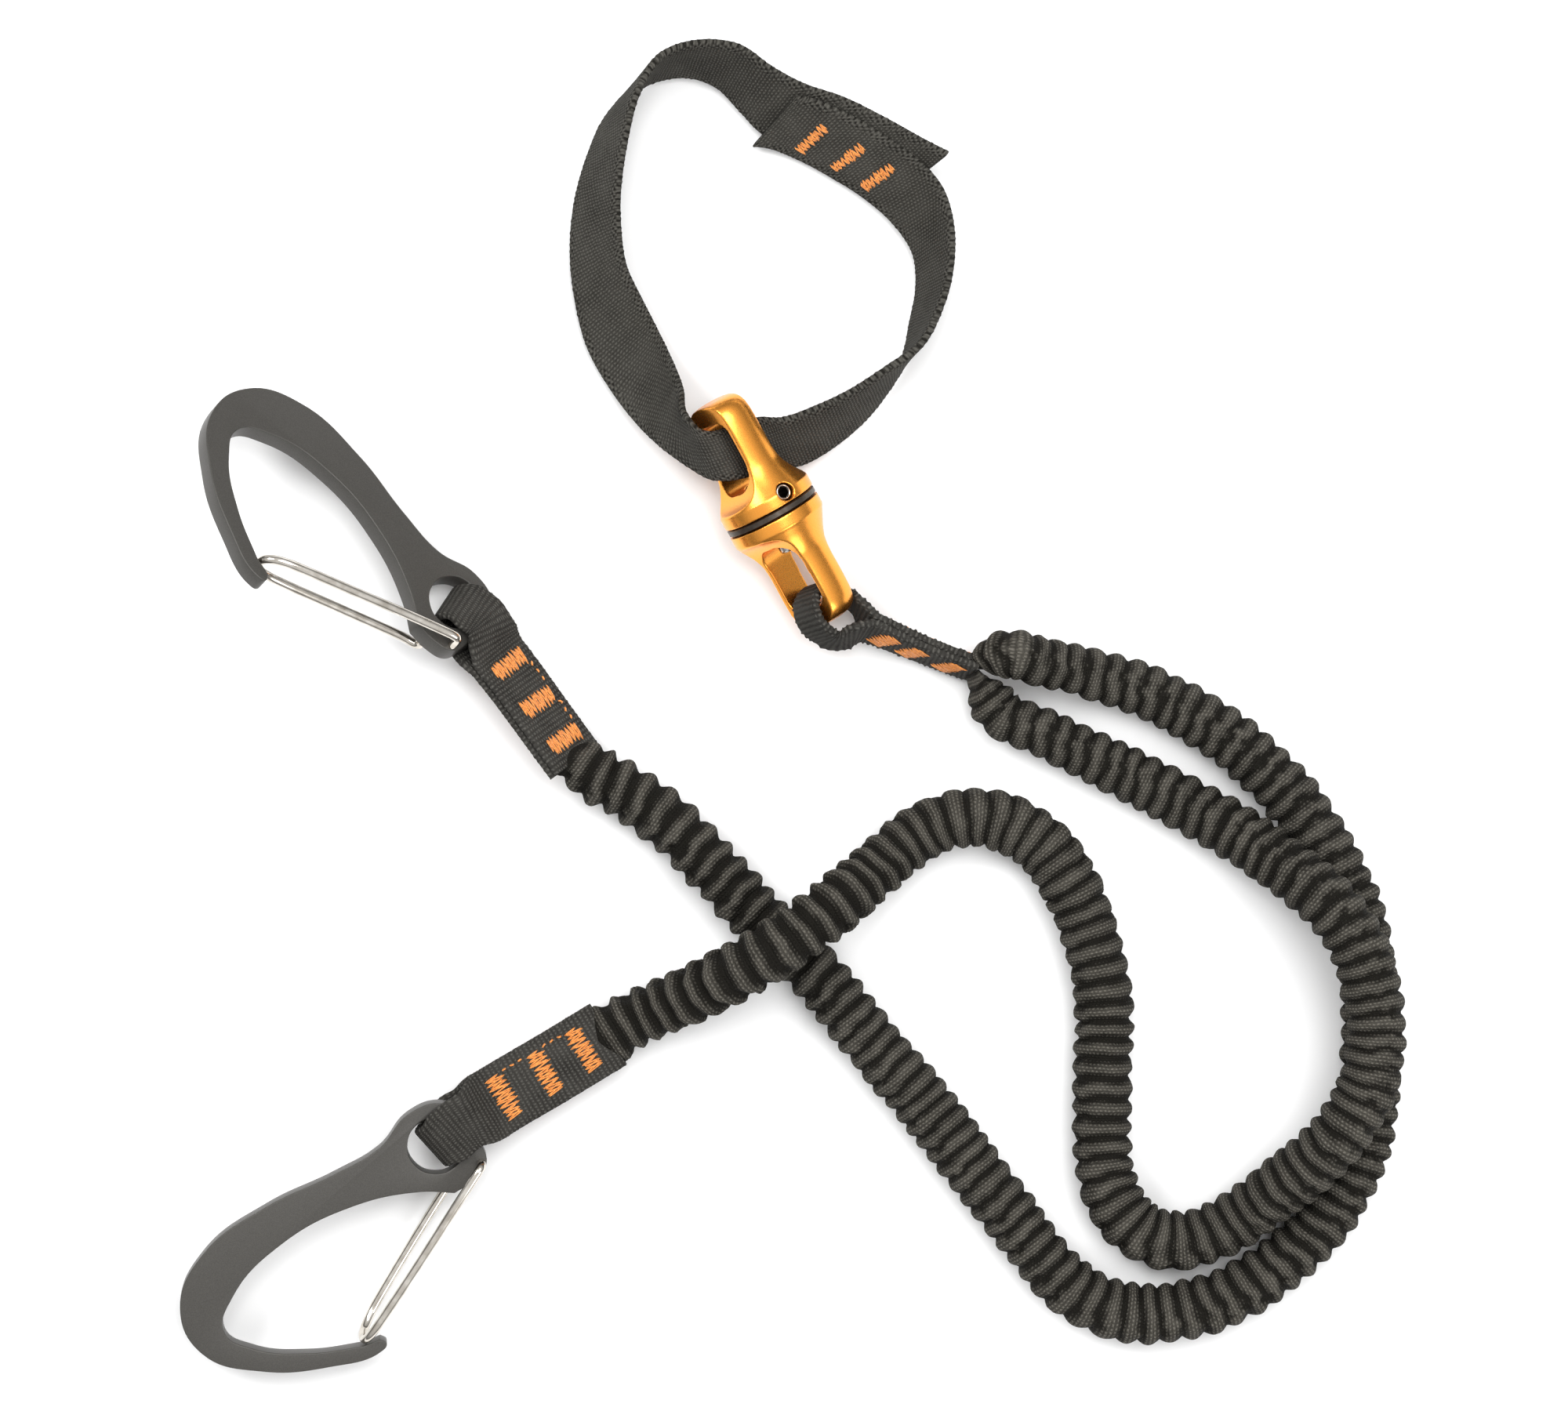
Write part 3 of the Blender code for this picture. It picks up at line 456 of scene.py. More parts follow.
def tape_section(half_width, thickness):
    """The outline of a tape's section, as (across, lift), with rounded rims."""
    radius = thickness / 2
    flat = half_width - radius
    top = [(-flat + 2 * flat * step / TAPE_CELLS, radius) for step in range(TAPE_CELLS + 1)]
    turn = [math.radians(degrees) for degrees in (60, 30, 0, -30, -60)]
    rim = [(flat + radius * math.cos(angle), radius * math.sin(angle)) for angle in turn]
    bottom = [(x, -y) for x, y in reversed(top)]
    other = [(-x, -y) for x, y in rim]
    return top + rim + bottom + other


def tape_rings(rims, thickness, rough):
    """Rings round a tape that runs between its rims, its selvages beaded like braid."""
    middles = [(low + high) / 2 for low, high in rims]
    runs = running(middles)
    rings = []
    last = len(rims) - 1
    for index, (low, high) in enumerate(rims):
        along = middles[min(index + 1, last)] - middles[max(index - 1, 0)]
        width = (high - low).normalized()
        normal = along.cross(width).normalized()
        half = (high - low).length / 2
        ring = []
        for across, lift in tape_section(half, thickness):
            share = across / half
            if abs(share) > 0.85:
                bead = math.sin(runs[index] * 2 * math.pi / (1.4 * MM) + (0 if lift > 0 else 2.1))
                bead += 2 * noise.noise(Vector((runs[index] * 900, lift * 1400, share)))
                across += math.copysign(rough * bead, share)
                lift += rough * bead * (0.8 if lift > 0 else -0.8)
            ring.append(middles[index] + width * across + normal * lift)
        rings.append(ring)
    return rings, runs


def tape_across(half_width, thickness):
    across = [x for x, _ in tape_section(half_width, thickness)]
    return across + across[:1]


def tape_mesh(name, rims, thickness, rough=0.07 * MM):
    rings, runs = tape_rings(rims, thickness, rough)
    return skin_mesh(name, rings, runs, tape_across(9.5 * MM, thickness))


def tube_parts(line, radius, sides=6, ends=0.35):
    """Points and faces of a thread or wire along a line, its ends drawn in."""
    rings = []
    last = len(line) - 1
    side = Vector((0, 0, 1))
    for index, point in enumerate(line):
        along = (line[min(index + 1, last)] - line[max(index - 1, 0)]).normalized()
        side = (side - side.dot(along) * along)
        if side.length < 1e-4:
            side = along.orthogonal()
        side.normalize()
        other = along.cross(side)
        size = radius * (ends if index in (0, last) else 1)
        for step in range(sides):
            angle = 2 * math.pi * step / sides
            rings.append(point + (side * math.cos(angle) + other * math.sin(angle)) * size)
    return rings, ring_faces(len(line), sides)


# ---------- materials ----------

class Shader:
    """A Principled material whose node tree is grown one node at a time."""

    def __init__(self, name, roughness, metallic=0.0, **values):
        self.material = bpy.data.materials.new(name)
        self.material.use_nodes = True
        self.tree = self.material.node_tree
        self.main = self.tree.nodes["Principled BSDF"]
        self.main.inputs["Roughness"].default_value = roughness
        self.main.inputs["Metallic"].default_value = metallic
        for key, value in values.items():
            self.main.inputs[key.replace("_", " ")].default_value = value

    def node(self, kind, inputs=(), **settings):
        node = self.tree.nodes.new("ShaderNode" + kind)
        for key, value in settings.items():
            setattr(node, key, value)
        for key, value in dict(inputs).items():
            if hasattr(value, "is_output"):
                self.tree.links.new(value, node.inputs[key])
            else:
                node.inputs[key].default_value = value
        return node

    def math(self, operation, first, second=0.0, third=0.0):
        node = self.node("Math", {0: first, 1: second, 2: third}, operation=operation)
        return node.outputs[0]

    def noise(self, scale, detail=3.0):
        where = self.node("TexCoord").outputs["Object"]
        return self.node("TexNoise", {"Vector": where, "Scale": scale, "Detail": detail}).outputs["Fac"]

    def ramp(self, value, *stops):
        node = self.node("ValToRGB", {"Fac": value})
        elements = node.color_ramp.elements
        while len(elements) < len(stops):
            elements.new(0.5)
        for element, (place, colour) in zip(elements, stops):
            element.position = place
            element.color = (*colour, 1)
        return node.outputs["Color"]

    def colour(self, socket):
        self.tree.links.new(socket, self.main.inputs["Base Color"])

    def roughness(self, value, low, high):
        node = self.node("MapRange", {"Value": value, "To Min": low, "To Max": high})
        self.tree.links.new(node.outputs[0], self.main.inputs["Roughness"])

    def bump(self, height, distance):
        node = self.node("Bump", {"Height": height, "Distance": distance, "Strength": 1.0})
        self.tree.links.new(node.outputs[0], self.main.inputs["Normal"])


def weave(name, row, dash, dark, light, depth=0.3 * MM, crest=False, selvage=0.0):
    """Woven webbing: rows of short yarn floats, laid out by UVs in metres."""
    shader = Shader(name, 0.85, Specular_IOR_Level=0.12)
    parts = shader.node("SeparateXYZ", {0: shader.node("UVMap").outputs[0]})
    wobble = shader.math("MULTIPLY", shader.noise(700), 0.7 * MM)
    along = shader.math("DIVIDE", shader.math("ADD", parts.outputs[0], wobble), row)
    rows = shader.math("SINE", shader.math("MULTIPLY", along, 2 * math.pi))
    turn = shader.math("MULTIPLY", shader.math("FLOOR", along), 2.3)
    across = shader.math("MULTIPLY", shader.math("ADD", parts.outputs[1], wobble), 2 * math.pi / dash)
    dashes = shader.math("SINE", shader.math("ADD", across, turn))
    thread = shader.math("MULTIPLY_ADD", shader.math("MULTIPLY", shader.math("ADD", rows, 1), 0.5),
                         shader.math("MULTIPLY_ADD", dashes, 0.42, 0.55), 0.0)
    if selvage:
        braid = shader.math("SINE", shader.math("MULTIPLY", parts.outputs[0], 2 * math.pi / (1.9 * MM)))
        strands = shader.math("SINE", shader.math("MULTIPLY", parts.outputs[1], 2 * math.pi / (1.5 * MM)))
        rim = shader.math("GREATER_THAN", shader.math("ABSOLUTE", parts.outputs[1]), selvage)
        braid = shader.math("MULTIPLY", shader.math("MULTIPLY", braid, strands), 0.45)
        braid = shader.math("MULTIPLY", braid, rim)
        thread = shader.math("ADD", thread, braid)
    rough = shader.math("MULTIPLY_ADD", shader.noise(2400, 2), 0.35, thread)
    tone = shader.math("MULTIPLY_ADD", shader.noise(140, 4), 0.45, shader.math("MULTIPLY", rough, 0.8))
    # Painted light and shade: the tone is scaled by the crest attribute, dark in the pleats' folds and lighter
    # on their crests.
    if crest:
        mask = shader.node("Attribute", attribute_name="crest").outputs["Fac"]
        tone = shader.math("MULTIPLY", tone, mask)
    shader.colour(shader.ramp(tone, (0.18, dark), (1.0, light)))
    shader.roughness(shader.noise(300), 0.75, 0.95)
    shader.bump(rough, depth)
    return shader.material


def thread_look(name, dark, light):
    shader = Shader(name, 0.55, Sheen_Weight=0.3, Specular_IOR_Level=0.4)
    strands = shader.noise(2200, 2)
    shader.colour(shader.ramp(strands, (0.3, dark), (0.7, light)))
    shader.roughness(strands, 0.42, 0.7)
    shader.bump(strands, 0.08 * MM)
    return shader.material


def metal(name, dark, light, roughness, grain, metallic=1.0, bump=0.01 * MM):
    shader = Shader(name, roughness, metallic)
    tone = shader.noise(grain, 4)
    shader.colour(shader.ramp(tone, (0.3, dark), (0.75, light)))
    shader.roughness(shader.noise(grain * 1.7), roughness * 0.75, roughness * 1.3)
    shader.bump(tone, bump)
    return shader.material


TAPE = weave("webbing_tape", 0.85 * MM, 1.1 * MM, (0.012, 0.011, 0.009), (0.090, 0.086, 0.075),
             0.25 * MM, selvage=7.3 * MM)
RIBBED = weave("webbing_ribbed", 1.25 * MM, 0.9 * MM, (0.007, 0.006, 0.005), (0.090, 0.086, 0.077),
               0.4 * MM)
# The pleated webbing's light end only shows on the pleats' crests: painted light there, painted shade in the
# folds.
SLEEVE = weave("webbing_pleated", 0.9 * MM, 1.1 * MM, (0.009, 0.008, 0.006), (0.140, 0.130, 0.110),
               0.35 * MM, crest=True)
THREAD = thread_look("thread_orange", (0.50, 0.14, 0.015), (0.85, 0.32, 0.06))
ORANGE = metal("anodised_orange", (0.97, 0.38, 0.060), (1.0, 0.41, 0.070), 0.28, 2500, bump=0.001 * MM)
PLATE = metal("coated_plate", (0.050, 0.047, 0.042), (0.075, 0.071, 0.064), 0.42, 3500, metallic=0.3,
              bump=0.012 * MM)
WIRE = metal("bright_wire", (0.50, 0.46, 0.40), (0.78, 0.74, 0.68), 0.11, 300, bump=0.0)
RING = metal("ring_grey", (0.07, 0.055, 0.045), (0.11, 0.095, 0.08), 0.4, 700)
STEEL = metal("turned_steel", (0.40, 0.38, 0.36), (0.70, 0.68, 0.64), 0.25, 500)
DARK_STEEL = metal("screw_steel", (0.035, 0.030, 0.026), (0.07, 0.06, 0.05), 0.35, 500)
RUBBER = thread_look("bungee_rubber", (0.05, 0.045, 0.04), (0.14, 0.13, 0.12))


# ---------- sewn tabs ----------

def zigzag(place, across, along, strands, slack):
    """A bar tack's thread: place(along, across, lift) gives points on the sewn face."""
    line = []
    for index in range(strands + 1):
        sideways = -across / 2 + across * index / strands
        reach = (along / 2 + random.uniform(-slack, slack)) * (1 if index % 2 else -1)
        step = across / strands
        line.append(place(reach, sideways, -0.2 * MM))
        for share in (0.7, 0.3, -0.1, -0.5):
            bow = 0.12 * MM * (1 - share * share)
            line.append(place(reach * share, sideways + step * (1 - share) / 2 * 0.9,
                              bow + random.uniform(0, 0.12) * MM))
    return tube_parts(line, THREAD_R)


def tack_mesh(name, places, along, across, extra=()):
    """Two runs of zig-zag on top of each other, on each face in places."""
    parts = []
    for place in places:
        parts.append(zigzag(place, across, along, round(across / (0.62 * MM)), 0.45 * MM))
        parts.append(zigzag(place, across * 0.94, along * 0.86, round(across / (0.95 * MM)), 0.5 * MM))
    parts = [([SHIFT @ point for point in points], faces) for points, faces in parts]
    return joined_mesh(name, parts + list(extra))


def tab_face(tab, distance, side):
    """place(along, across, lift) on a tab's face, slanted as its tacks are."""
    cosine = math.cos(tab.skew)
    sine = math.sin(tab.skew) * side

    def place(along, across, lift):
        return tab.face_point(distance + along * cosine + across * abs(sine), across * cosine - along * sine,
                              lift, side)
    return place


def travel_stitches(place, across):
    """Short loose stitches where the thread goes on to the next tack."""
    parts = []
    for number in range(STRAYS):
        start = STITCH_SIZE[0] / 2 + number * STRAY_PITCH
        shift = random.uniform(-0.5, 0.5) * MM
        line = [place(start, across + shift, -0.2 * MM), place(start + 0.4 * MM, across, 0.2 * MM),
                place(start + 1.0 * MM, across - shift, 0.15 * MM), place(start + 1.3 * MM, across, -0.2 * MM)]
        points, faces = tube_parts(line, THREAD_R * 1.3)
        parts.append(([SHIFT @ point for point in points], faces))
    return parts


def build_tab(prefix, tab, tacks):
    rims = smooth_rims(tab.rims(), 0.4 * MM)
    mesh = tape_mesh(prefix + "_tape", rims, LAYER_T, 0.2 * MM if tab.skew else 0.08 * MM)
    new_object(prefix + "_tape", mesh, "leash", prefix + "_webbing", material=RIBBED, slot="webbing_charcoal")
    for number, distance in enumerate(tacks, 1):
        places = [tab_face(tab, distance, side) for side in (1, -1)]
        name = f"{prefix}_stitches_{number}"
        loose_ends = []
        if not tab.skew and number < len(tacks):
            for place in places:
                loose_ends += travel_stitches(place, STRAY_ACROSS[prefix])
        across = JOIN_STITCH_ACROSS if tab.skew else STITCH_SIZE[1]
        mesh = tack_mesh(name, places, STITCH_SIZE[0], across, loose_ends)
        new_object(name, mesh, "leash", f"{prefix}_bartack_{number}", material=THREAD, slot="thread_orange")


# ---------- carabiners ----------

def evaluated_mesh(obj):
    """The mesh that a working object ends up as."""
    bpy.context.view_layer.update()
    graph = bpy.context.evaluated_depsgraph_get()
    mesh = bpy.data.meshes.new_from_object(obj.evaluated_get(graph))
    bpy.data.objects.remove(obj)
    return mesh


def circle_outline(centre, radius, points=8):
    turns = [2 * math.pi * step / points for step in range(points)]
    return [(centre[0] + radius * math.cos(turn), centre[1] + radius * math.sin(turn)) for turn in turns]


def plate_mesh(name, outlines, thickness, rounding):
    """A flat plate with rounded edges from closed outlines in local XY."""
    data = bpy.data.curves.new(name, "CURVE")
    data.dimensions = "2D"
    data.fill_mode = "BOTH"
    data.extrude = thickness / 2 - rounding
    data.bevel_depth = rounding
    data.bevel_resolution = 3
    data.offset = -rounding
    data.resolution_u = 10
    for outline in outlines:
        spline = data.splines.new("BEZIER")
        spline.bezier_points.add(len(outline) - 1)
        spline.use_cyclic_u = True
        for point, (x, y, *kind) in zip(spline.bezier_points, outline):
            point.co = (x, y, 0)
            handle = "VECTOR" if kind else "AUTO"
            point.handle_left_type = handle
            point.handle_right_type = handle
    holder = bpy.data.objects.new(name, data)
    bpy.context.scene.collection.objects.link(holder)
    mesh = evaluated_mesh(holder)
    mesh.name = name
    return mesh


def weld(mesh):
    shape = bmesh.new()
    shape.from_mesh(mesh)
    bmesh.ops.remove_doubles(shape, verts=shape.verts, dist=2e-6)
    bmesh.ops.recalc_face_normals(shape, faces=shape.faces)
    shape.to_mesh(mesh)
    shape.free()
    mesh.shade_smooth()
    mesh.set_sharp_from_angle(angle=SHARP_FROM)


def gate_line():
    """The wire of the gate: the near leg's end curls in at the boss, the far leg's beyond it."""
    near = [
        (-1.5, 10.0, 2.0), (-1.5, 10.0, 5.0), (-1.2, 10.1, 6.3), (0.2, 10.5, 6.9), (4, 11.6, 7.0),
        (12, 13.9, 6.9), (28, 18.7, 6.6), (42, 22.7, 6.0), (46.8, 24.0, 5.2), (49.6, 24.6, 3.4),
        (50.6, 24.6, 1.2),
    ]
    far = [
        (50.5, 24.1, -1.2), (49.5, 23.6, -3.4), (46.6, 22.3, -5.2), (42, 20.6, -6.0), (28, 16.0, -6.6),
        (12, 11.0, -6.9), (8.2, 10.0, -6.9), (5.6, 9.8, -6.6), (4.4, 9.9, -5.2), (4.3, 9.9, -3.0),
    ]
    return smooth_route([Vector(point) * MM for point in near + far], 0.7 * MM)


def build_carabiner(prefix, place, reach, spread):
    """reach trims the plate's length and spread its width, both from the eye."""
    eye = Matrix.Translation((*EYE_CENTRE, 0))
    place = place @ eye @ Matrix.Diagonal((reach, spread, 1, 1)) @ eye.inverted()
    outline = [(x * MM, y * MM, *kind) for x, y, *kind in PLATE_OUTLINE_MM]
    mesh = plate_mesh(prefix + "_plate", [outline, circle_outline(EYE_CENTRE, EYE_R)], PLATE_T,
                      PLATE_ROUNDING)
    mesh.transform(SHIFT @ place)
    weld(mesh)
    new_object(prefix + "_plate", mesh, prefix + "_carabiner", prefix + "_carabiner_body",
               material=PLATE, slot="coated_plate")
    points, faces = tube_parts(gate_line(), GATE_R, 20, 0.8)
    mesh = joined_mesh(prefix + "_wire_gate", [([SHIFT @ place @ point for point in points], faces)])
    new_object(prefix + "_wire_gate", mesh, prefix + "_gate", prefix + "_carabiner_gate",
               material=WIRE, slot="bright_steel")


# ---------- swivel ----------

def lathe_parts(profile, steps=LATHE_STEPS):
    """Points and faces of a solid turned round local Z; profile runs from axis to axis."""
    points = []
    for radius, height in profile:
        for step in range(steps):
            angle = 2 * math.pi * step / steps
            points.append(Vector((radius * math.cos(angle), radius * math.sin(angle), height)))
    return points, ring_faces(len(profile), steps)


def rounded(profile):
    """The profile on a smooth curve, so that a turned piece has soft shoulders."""
    line = smooth_route([Vector((radius, height, 0)) for radius, height in profile], 0.5 * MM)
    return [(point.x, point.y) for point in line]


def loose(name, parts, matrix=Matrix.Identity(4)):
    """A working object for a Boolean, removed once it has been used."""
    mesh = joined_mesh(name, [parts])
    mesh.transform(matrix)
    obj = bpy.data.objects.new(name, mesh)
    bpy.context.scene.collection.objects.link(obj)
    return obj


def prism_parts(outline, depth):
    """A prism from an outline in local XZ, thick along Y."""
    count = len(outline)
    points = [Vector((x, y, z)) for y in (-depth, depth) for x, z in outline]
    faces = [list(range(count)), list(range(count, 2 * count))]
    for index in range(count):
        after = (index + 1) % count
        faces.append([index, after, count + after, count + index])
    return points, faces


def slab_outline(sign):
    """One flat side of a yoke: level along the arms, then sweeping out over the foot."""
    sweep = [
        Vector((4.4, 34, 0)), Vector((4.4, 26, 0)), Vector((4.4, 18, 0)), Vector((4.6, 14, 0)),
        Vector((5.6, 10.2, 0)), Vector((7.4, 7.4, 0)), Vector((10, 5.4, 0)), Vector((14, 4.2, 0)),
    ]
    line = smooth_route(sweep, 0.6)
    outline = [(sign * point.x * MM, point.y * MM) for point in line]
    return outline + [(sign * 16 * MM, 4.2 * MM), (sign * 16 * MM, 34 * MM)]


def eye_outline():
    outline = []
    far, near = EYE_CORNERS
    for middle, first, radius in ((EYE_FAR - far, 0, far), (EYE_NEAR + near, 180, near)):
        for turn in range(first, first + 181, 10):
            swing = math.radians(turn)
            across = math.copysign(EYE_OPEN - radius, math.cos(swing) + 1e-9)
            outline.append((across + radius * math.cos(swing), middle + radius * math.sin(swing)))
    return outline


def carve(target, cutters, voxel):
    """Cut, remesh and soften: the result's mesh, with the working objects gone."""
    for cutter in cutters:
        boolean = target.modifiers.new("cut", "BOOLEAN")
        boolean.object = cutter
        boolean.solver = "EXACT"
    remesh = target.modifiers.new("remesh", "REMESH")
    remesh.mode = "VOXEL"
    remesh.voxel_size = voxel
    soften = target.modifiers.new("soften", "SMOOTH")
    soften.factor = 0.5
    soften.iterations = 2
    mesh = evaluated_mesh(target)
    for cutter in cutters:
        bpy.data.objects.remove(cutter)
    return mesh


def yoke_mesh(name, roll, extra):
    profile = [
        (0.0, BODY_END), (4.4 * MM, BODY_END - 0.1 * MM), (7.0 * MM, BODY_END - 1.2 * MM),
        (8.5 * MM, BODY_END - 3.6 * MM), (ARM_R, BODY_END - 8 * MM), (ARM_R, 14 * MM),
        (9.4 * MM, 11 * MM), (10.6 * MM, 7.8 * MM), (12.0 * MM, 4.9 * MM),
    ]
    outer = rounded(profile) + [(FLANGE_R, 4.2 * MM), (FLANGE_R, BODY_START), (0.0, BODY_START)]
    body = loose(name, lathe_parts(outer))
    turn = Matrix.Rotation(roll, 4, "Z")
    across = Matrix.Rotation(roll + math.pi / 2, 4, "Z")
    cutters = [loose("side", prism_parts(slab_outline(sign), 20 * MM), across) for sign in (1, -1)]
    cutters.append(loose("eye", prism_parts(eye_outline(), 20 * MM), turn))
    return carve(body, cutters + extra, YOKE_VOXEL)


def drum(radius, start, end, matrix, sides=48):
    profile = [(0.0, end), (radius, end), (radius, start), (0.0, start)]
    return loose("drum", lathe_parts(profile, sides), matrix)


def build_swivel():
    across = SWIVEL_AXIS.cross(Vector((0, 0, 1)))
    down = SWIVEL_AXIS.cross(across)
    seam = Matrix((across.normalized(), down.normalized(), SWIVEL_AXIS)).transposed().to_4x4()
    seam = SHIFT @ Matrix.Translation(SWIVEL_AT) @ seam
    still = Matrix.Identity(4)
    lean = Matrix.Translation((0, 0, 3.9 * MM)) @ Matrix.Rotation(-SCREW_ROLL, 4, "Z")
    lean = lean @ Matrix.Rotation(math.pi / 2, 4, "Y")
    flip = Matrix.Rotation(math.pi, 4, "X")
    hole = drum(SCREW_R + GAP, 2 * MM, 16 * MM, lean)
    cavity = drum(CAVITY_R, 0, CAVITY_END, still, LATHE_STEPS)
    for body, roll, place, hollow in (("swivel_upper", -UPPER_ROLL, seam, hole),
                                      ("swivel_lower", LOWER_ROLL, seam @ flip, cavity)):
        bore = drum(AXLE_R + GAP, 0, EYE_NEAR + MM, still)
        mesh = yoke_mesh(body + "_yoke", roll, [bore, hollow])
        mesh.transform(place)
        mesh.shade_smooth()
        new_object(body + "_yoke", mesh, body, body + "_body", material=ORANGE, slot="anodised_orange")
    build_swivel_trim(seam, lean)


def build_swivel_trim(seam, lean):
    """The seam ring, the axle with its turned head, and the socket set screw, with a bright steel ring on its
    end face as a painted highlight.
    """
    ring = [
        (CAVITY_R - GAP, -2.2 * MM), (CAVITY_R - GAP, -RING_HALF), (FLANGE_R - 0.5 * MM, -RING_HALF),
        (FLANGE_R - 0.1 * MM, -RING_HALF + 0.3 * MM), (FLANGE_R - 0.1 * MM, RING_HALF - 0.3 * MM),
        (FLANGE_R - 0.5 * MM, RING_HALF), (AXLE_R + GAP, RING_HALF), (AXLE_R + GAP, -2.2 * MM),
        (CAVITY_R - GAP, -2.2 * MM),
    ]
    points, faces = lathe_parts(ring)
    mesh = joined_mesh("swivel_seam_ring", [([seam @ point for point in points], faces[:-2])])
    weld(mesh)
    new_object("swivel_seam_ring", mesh, "swivel_lower", "swivel_bearing_ring", material=RING, slot="ring_grey")
    axle = [
        (0, 7.4 * MM), (2.2 * MM, 7.5 * MM), (AXLE_R - 0.1 * MM, 6.9 * MM), (AXLE_R, -4.9 * MM),
        (8.6 * MM, -4.9 * MM), (8.6 * MM, -5.5 * MM), (AXLE_R, -5.5 * MM), (AXLE_R, -10.4 * MM),
        (AXLE_R - 0.4 * MM, -10.9 * MM), (1.5 * MM, -11 * MM), (1.1 * MM, -10.5 * MM), (0, -10.4 * MM),
    ]
    points, faces = lathe_parts(axle, 64)
    mesh = joined_mesh("swivel_turned_axle", [([seam @ point for point in points], faces)])
    weld(mesh)
    new_object("swivel_turned_axle", mesh, "swivel_upper", "swivel_axle", material=STEEL, slot="bright_steel")
    screw = drum(SCREW_R, AXLE_R + GAP, 10.9 * MM, lean)
    socket = drum(1.45 * MM, 5.5 * MM, 13 * MM, lean, 6)
    mesh = carve(screw, [socket], SCREW_VOXEL)
    mesh.transform(seam)
    mesh.shade_smooth()
    new_object("socket_set_screw", mesh, "swivel_upper", "set_screw", material=DARK_STEEL, slot="bright_steel")
    # Painted highlight: a thin bright steel ring laid on the dark screw's end face where its rim catches the
    # light.
    turns = [2 * math.pi * step / 48 for step in range(49)]
    radius = 1.75 * MM
    rim = [seam @ lean @ Vector((radius * math.cos(turn), radius * math.sin(turn), 10.85 * MM))
           for turn in turns]
    mesh = joined_mesh("set_screw_glint", [tube_parts(rim, 0.2 * MM, 8, 1)])
    new_object("set_screw_glint", mesh, "swivel_upper", material=WIRE, slot="bright_steel")


# ---------- sling ----------

def across_swivel(roll):
    """The direction across the swivel's axis at a roll from level."""
    up = SWIVEL_AXIS.cross(Vector((0, 0, 1)).cross(SWIVEL_AXIS)).normalized()
    right = SWIVEL_AXIS.cross(up).normalized()
    return right * math.cos(roll) + up * math.sin(roll)


def eye_matrix():
    across = across_swivel(UPPER_ROLL)
    through = across.cross(SWIVEL_AXIS)
    eye_at = SWIVEL_AT + SWIVEL_AXIS * (EYE_NEAR + EYE_FAR) / 2
    return Matrix.Translation(eye_at) @ Matrix((across, through, SWIVEL_AXIS)).transposed().to_4x4()


def build_sling():
    rough = sling_rims(eye_matrix())
    rims = smooth_rims(rough, 0.35 * MM)
    mesh = tape_mesh("sling_tape", rims, SLING_T)
    new_object("sling_tape", mesh, "sling", "sling_webbing", material=TAPE, slot="webbing_charcoal")
    for number, station in enumerate(SLING_TACK_STATIONS, 1):
        index = int(station)
        low = rough[index][0].lerp(rough[index + 1][0], station - index)
        high = rough[index][1].lerp(rough[index + 1][1], station - index)
        along = (rough[index + 1][0] - rough[index][0]).normalized()
        width = (high - low).normalized()
        along = (along - along.dot(width) * width).normalized()
        normal = along.cross(width)
        centre = low.lerp(high, 0.42)

        def place(reach, sideways, lift):
            return centre + along * reach + width * sideways + normal * (1.05 * MM + lift)
        name = f"sling_stitches_{number}"
        mesh = tack_mesh(name, [place], *SLING_TACK_SIZE)
        new_object(name, mesh, "sling", f"sling_bartack_{number}", material=THREAD, slot="thread_orange")


# ---------- arms ----------

def pleat(phase, angle, seed, done, last):
    """How far a pleated sleeve stands in from its largest radius, 0 at a crest to 1 in a fold."""
    tilt = 0.34 * noise.noise(Vector((done * 14, seed, 8)))
    lean = tilt * math.sin(angle + 3 * noise.noise(Vector((done * 9, seed, 5))))
    lean += 0.16 * noise.noise(Vector((phase * 0.5, math.cos(angle) * 1.2 + seed, math.sin(angle) * 1.2)))
    curl = math.copysign(0.15, math.cos(angle))
    curl += 0.35 * noise.noise(Vector((phase * 1.9, angle * 2, seed)))
    lean += curl * math.cos(angle) ** 6
    crest = abs(math.sin(math.pi * (phase + lean)))
    return 1 - crest ** (0.95 + 0.75 * last + 0.5 * noise.noise(Vector((done * 16, seed, 1))))


def sleeve_line(route_mm, first, last, first_width, last_width):
    """The sleeve's centreline, with a carried width direction that meets both tabs."""
    points = [first] + [Vector(point) * MM for point in route_mm] + [last]
    line = smooth_route(points, 0.42 * MM)
    sides = []
    side = first_width.copy()
    for index, point in enumerate(line):
        along = (line[min(index + 1, len(line) - 1)] - line[max(index - 1, 0)]).normalized()
        side = (side - side.dot(along) * along).normalized()
        sides.append((along, side.copy()))
    along, side = sides[-1]
    target = (last_width - last_width.dot(along) * along).normalized()
    twist = math.atan2(side.cross(target).dot(along), side.dot(target))
    twist = (twist + math.pi / 2) % math.pi - math.pi / 2
    turned = []
    for index, (along, side) in enumerate(sides):
        turned.append((along, Matrix.Rotation(twist * ease(index / (len(sides) - 1)), 3, along) @ side))
    return line, turned


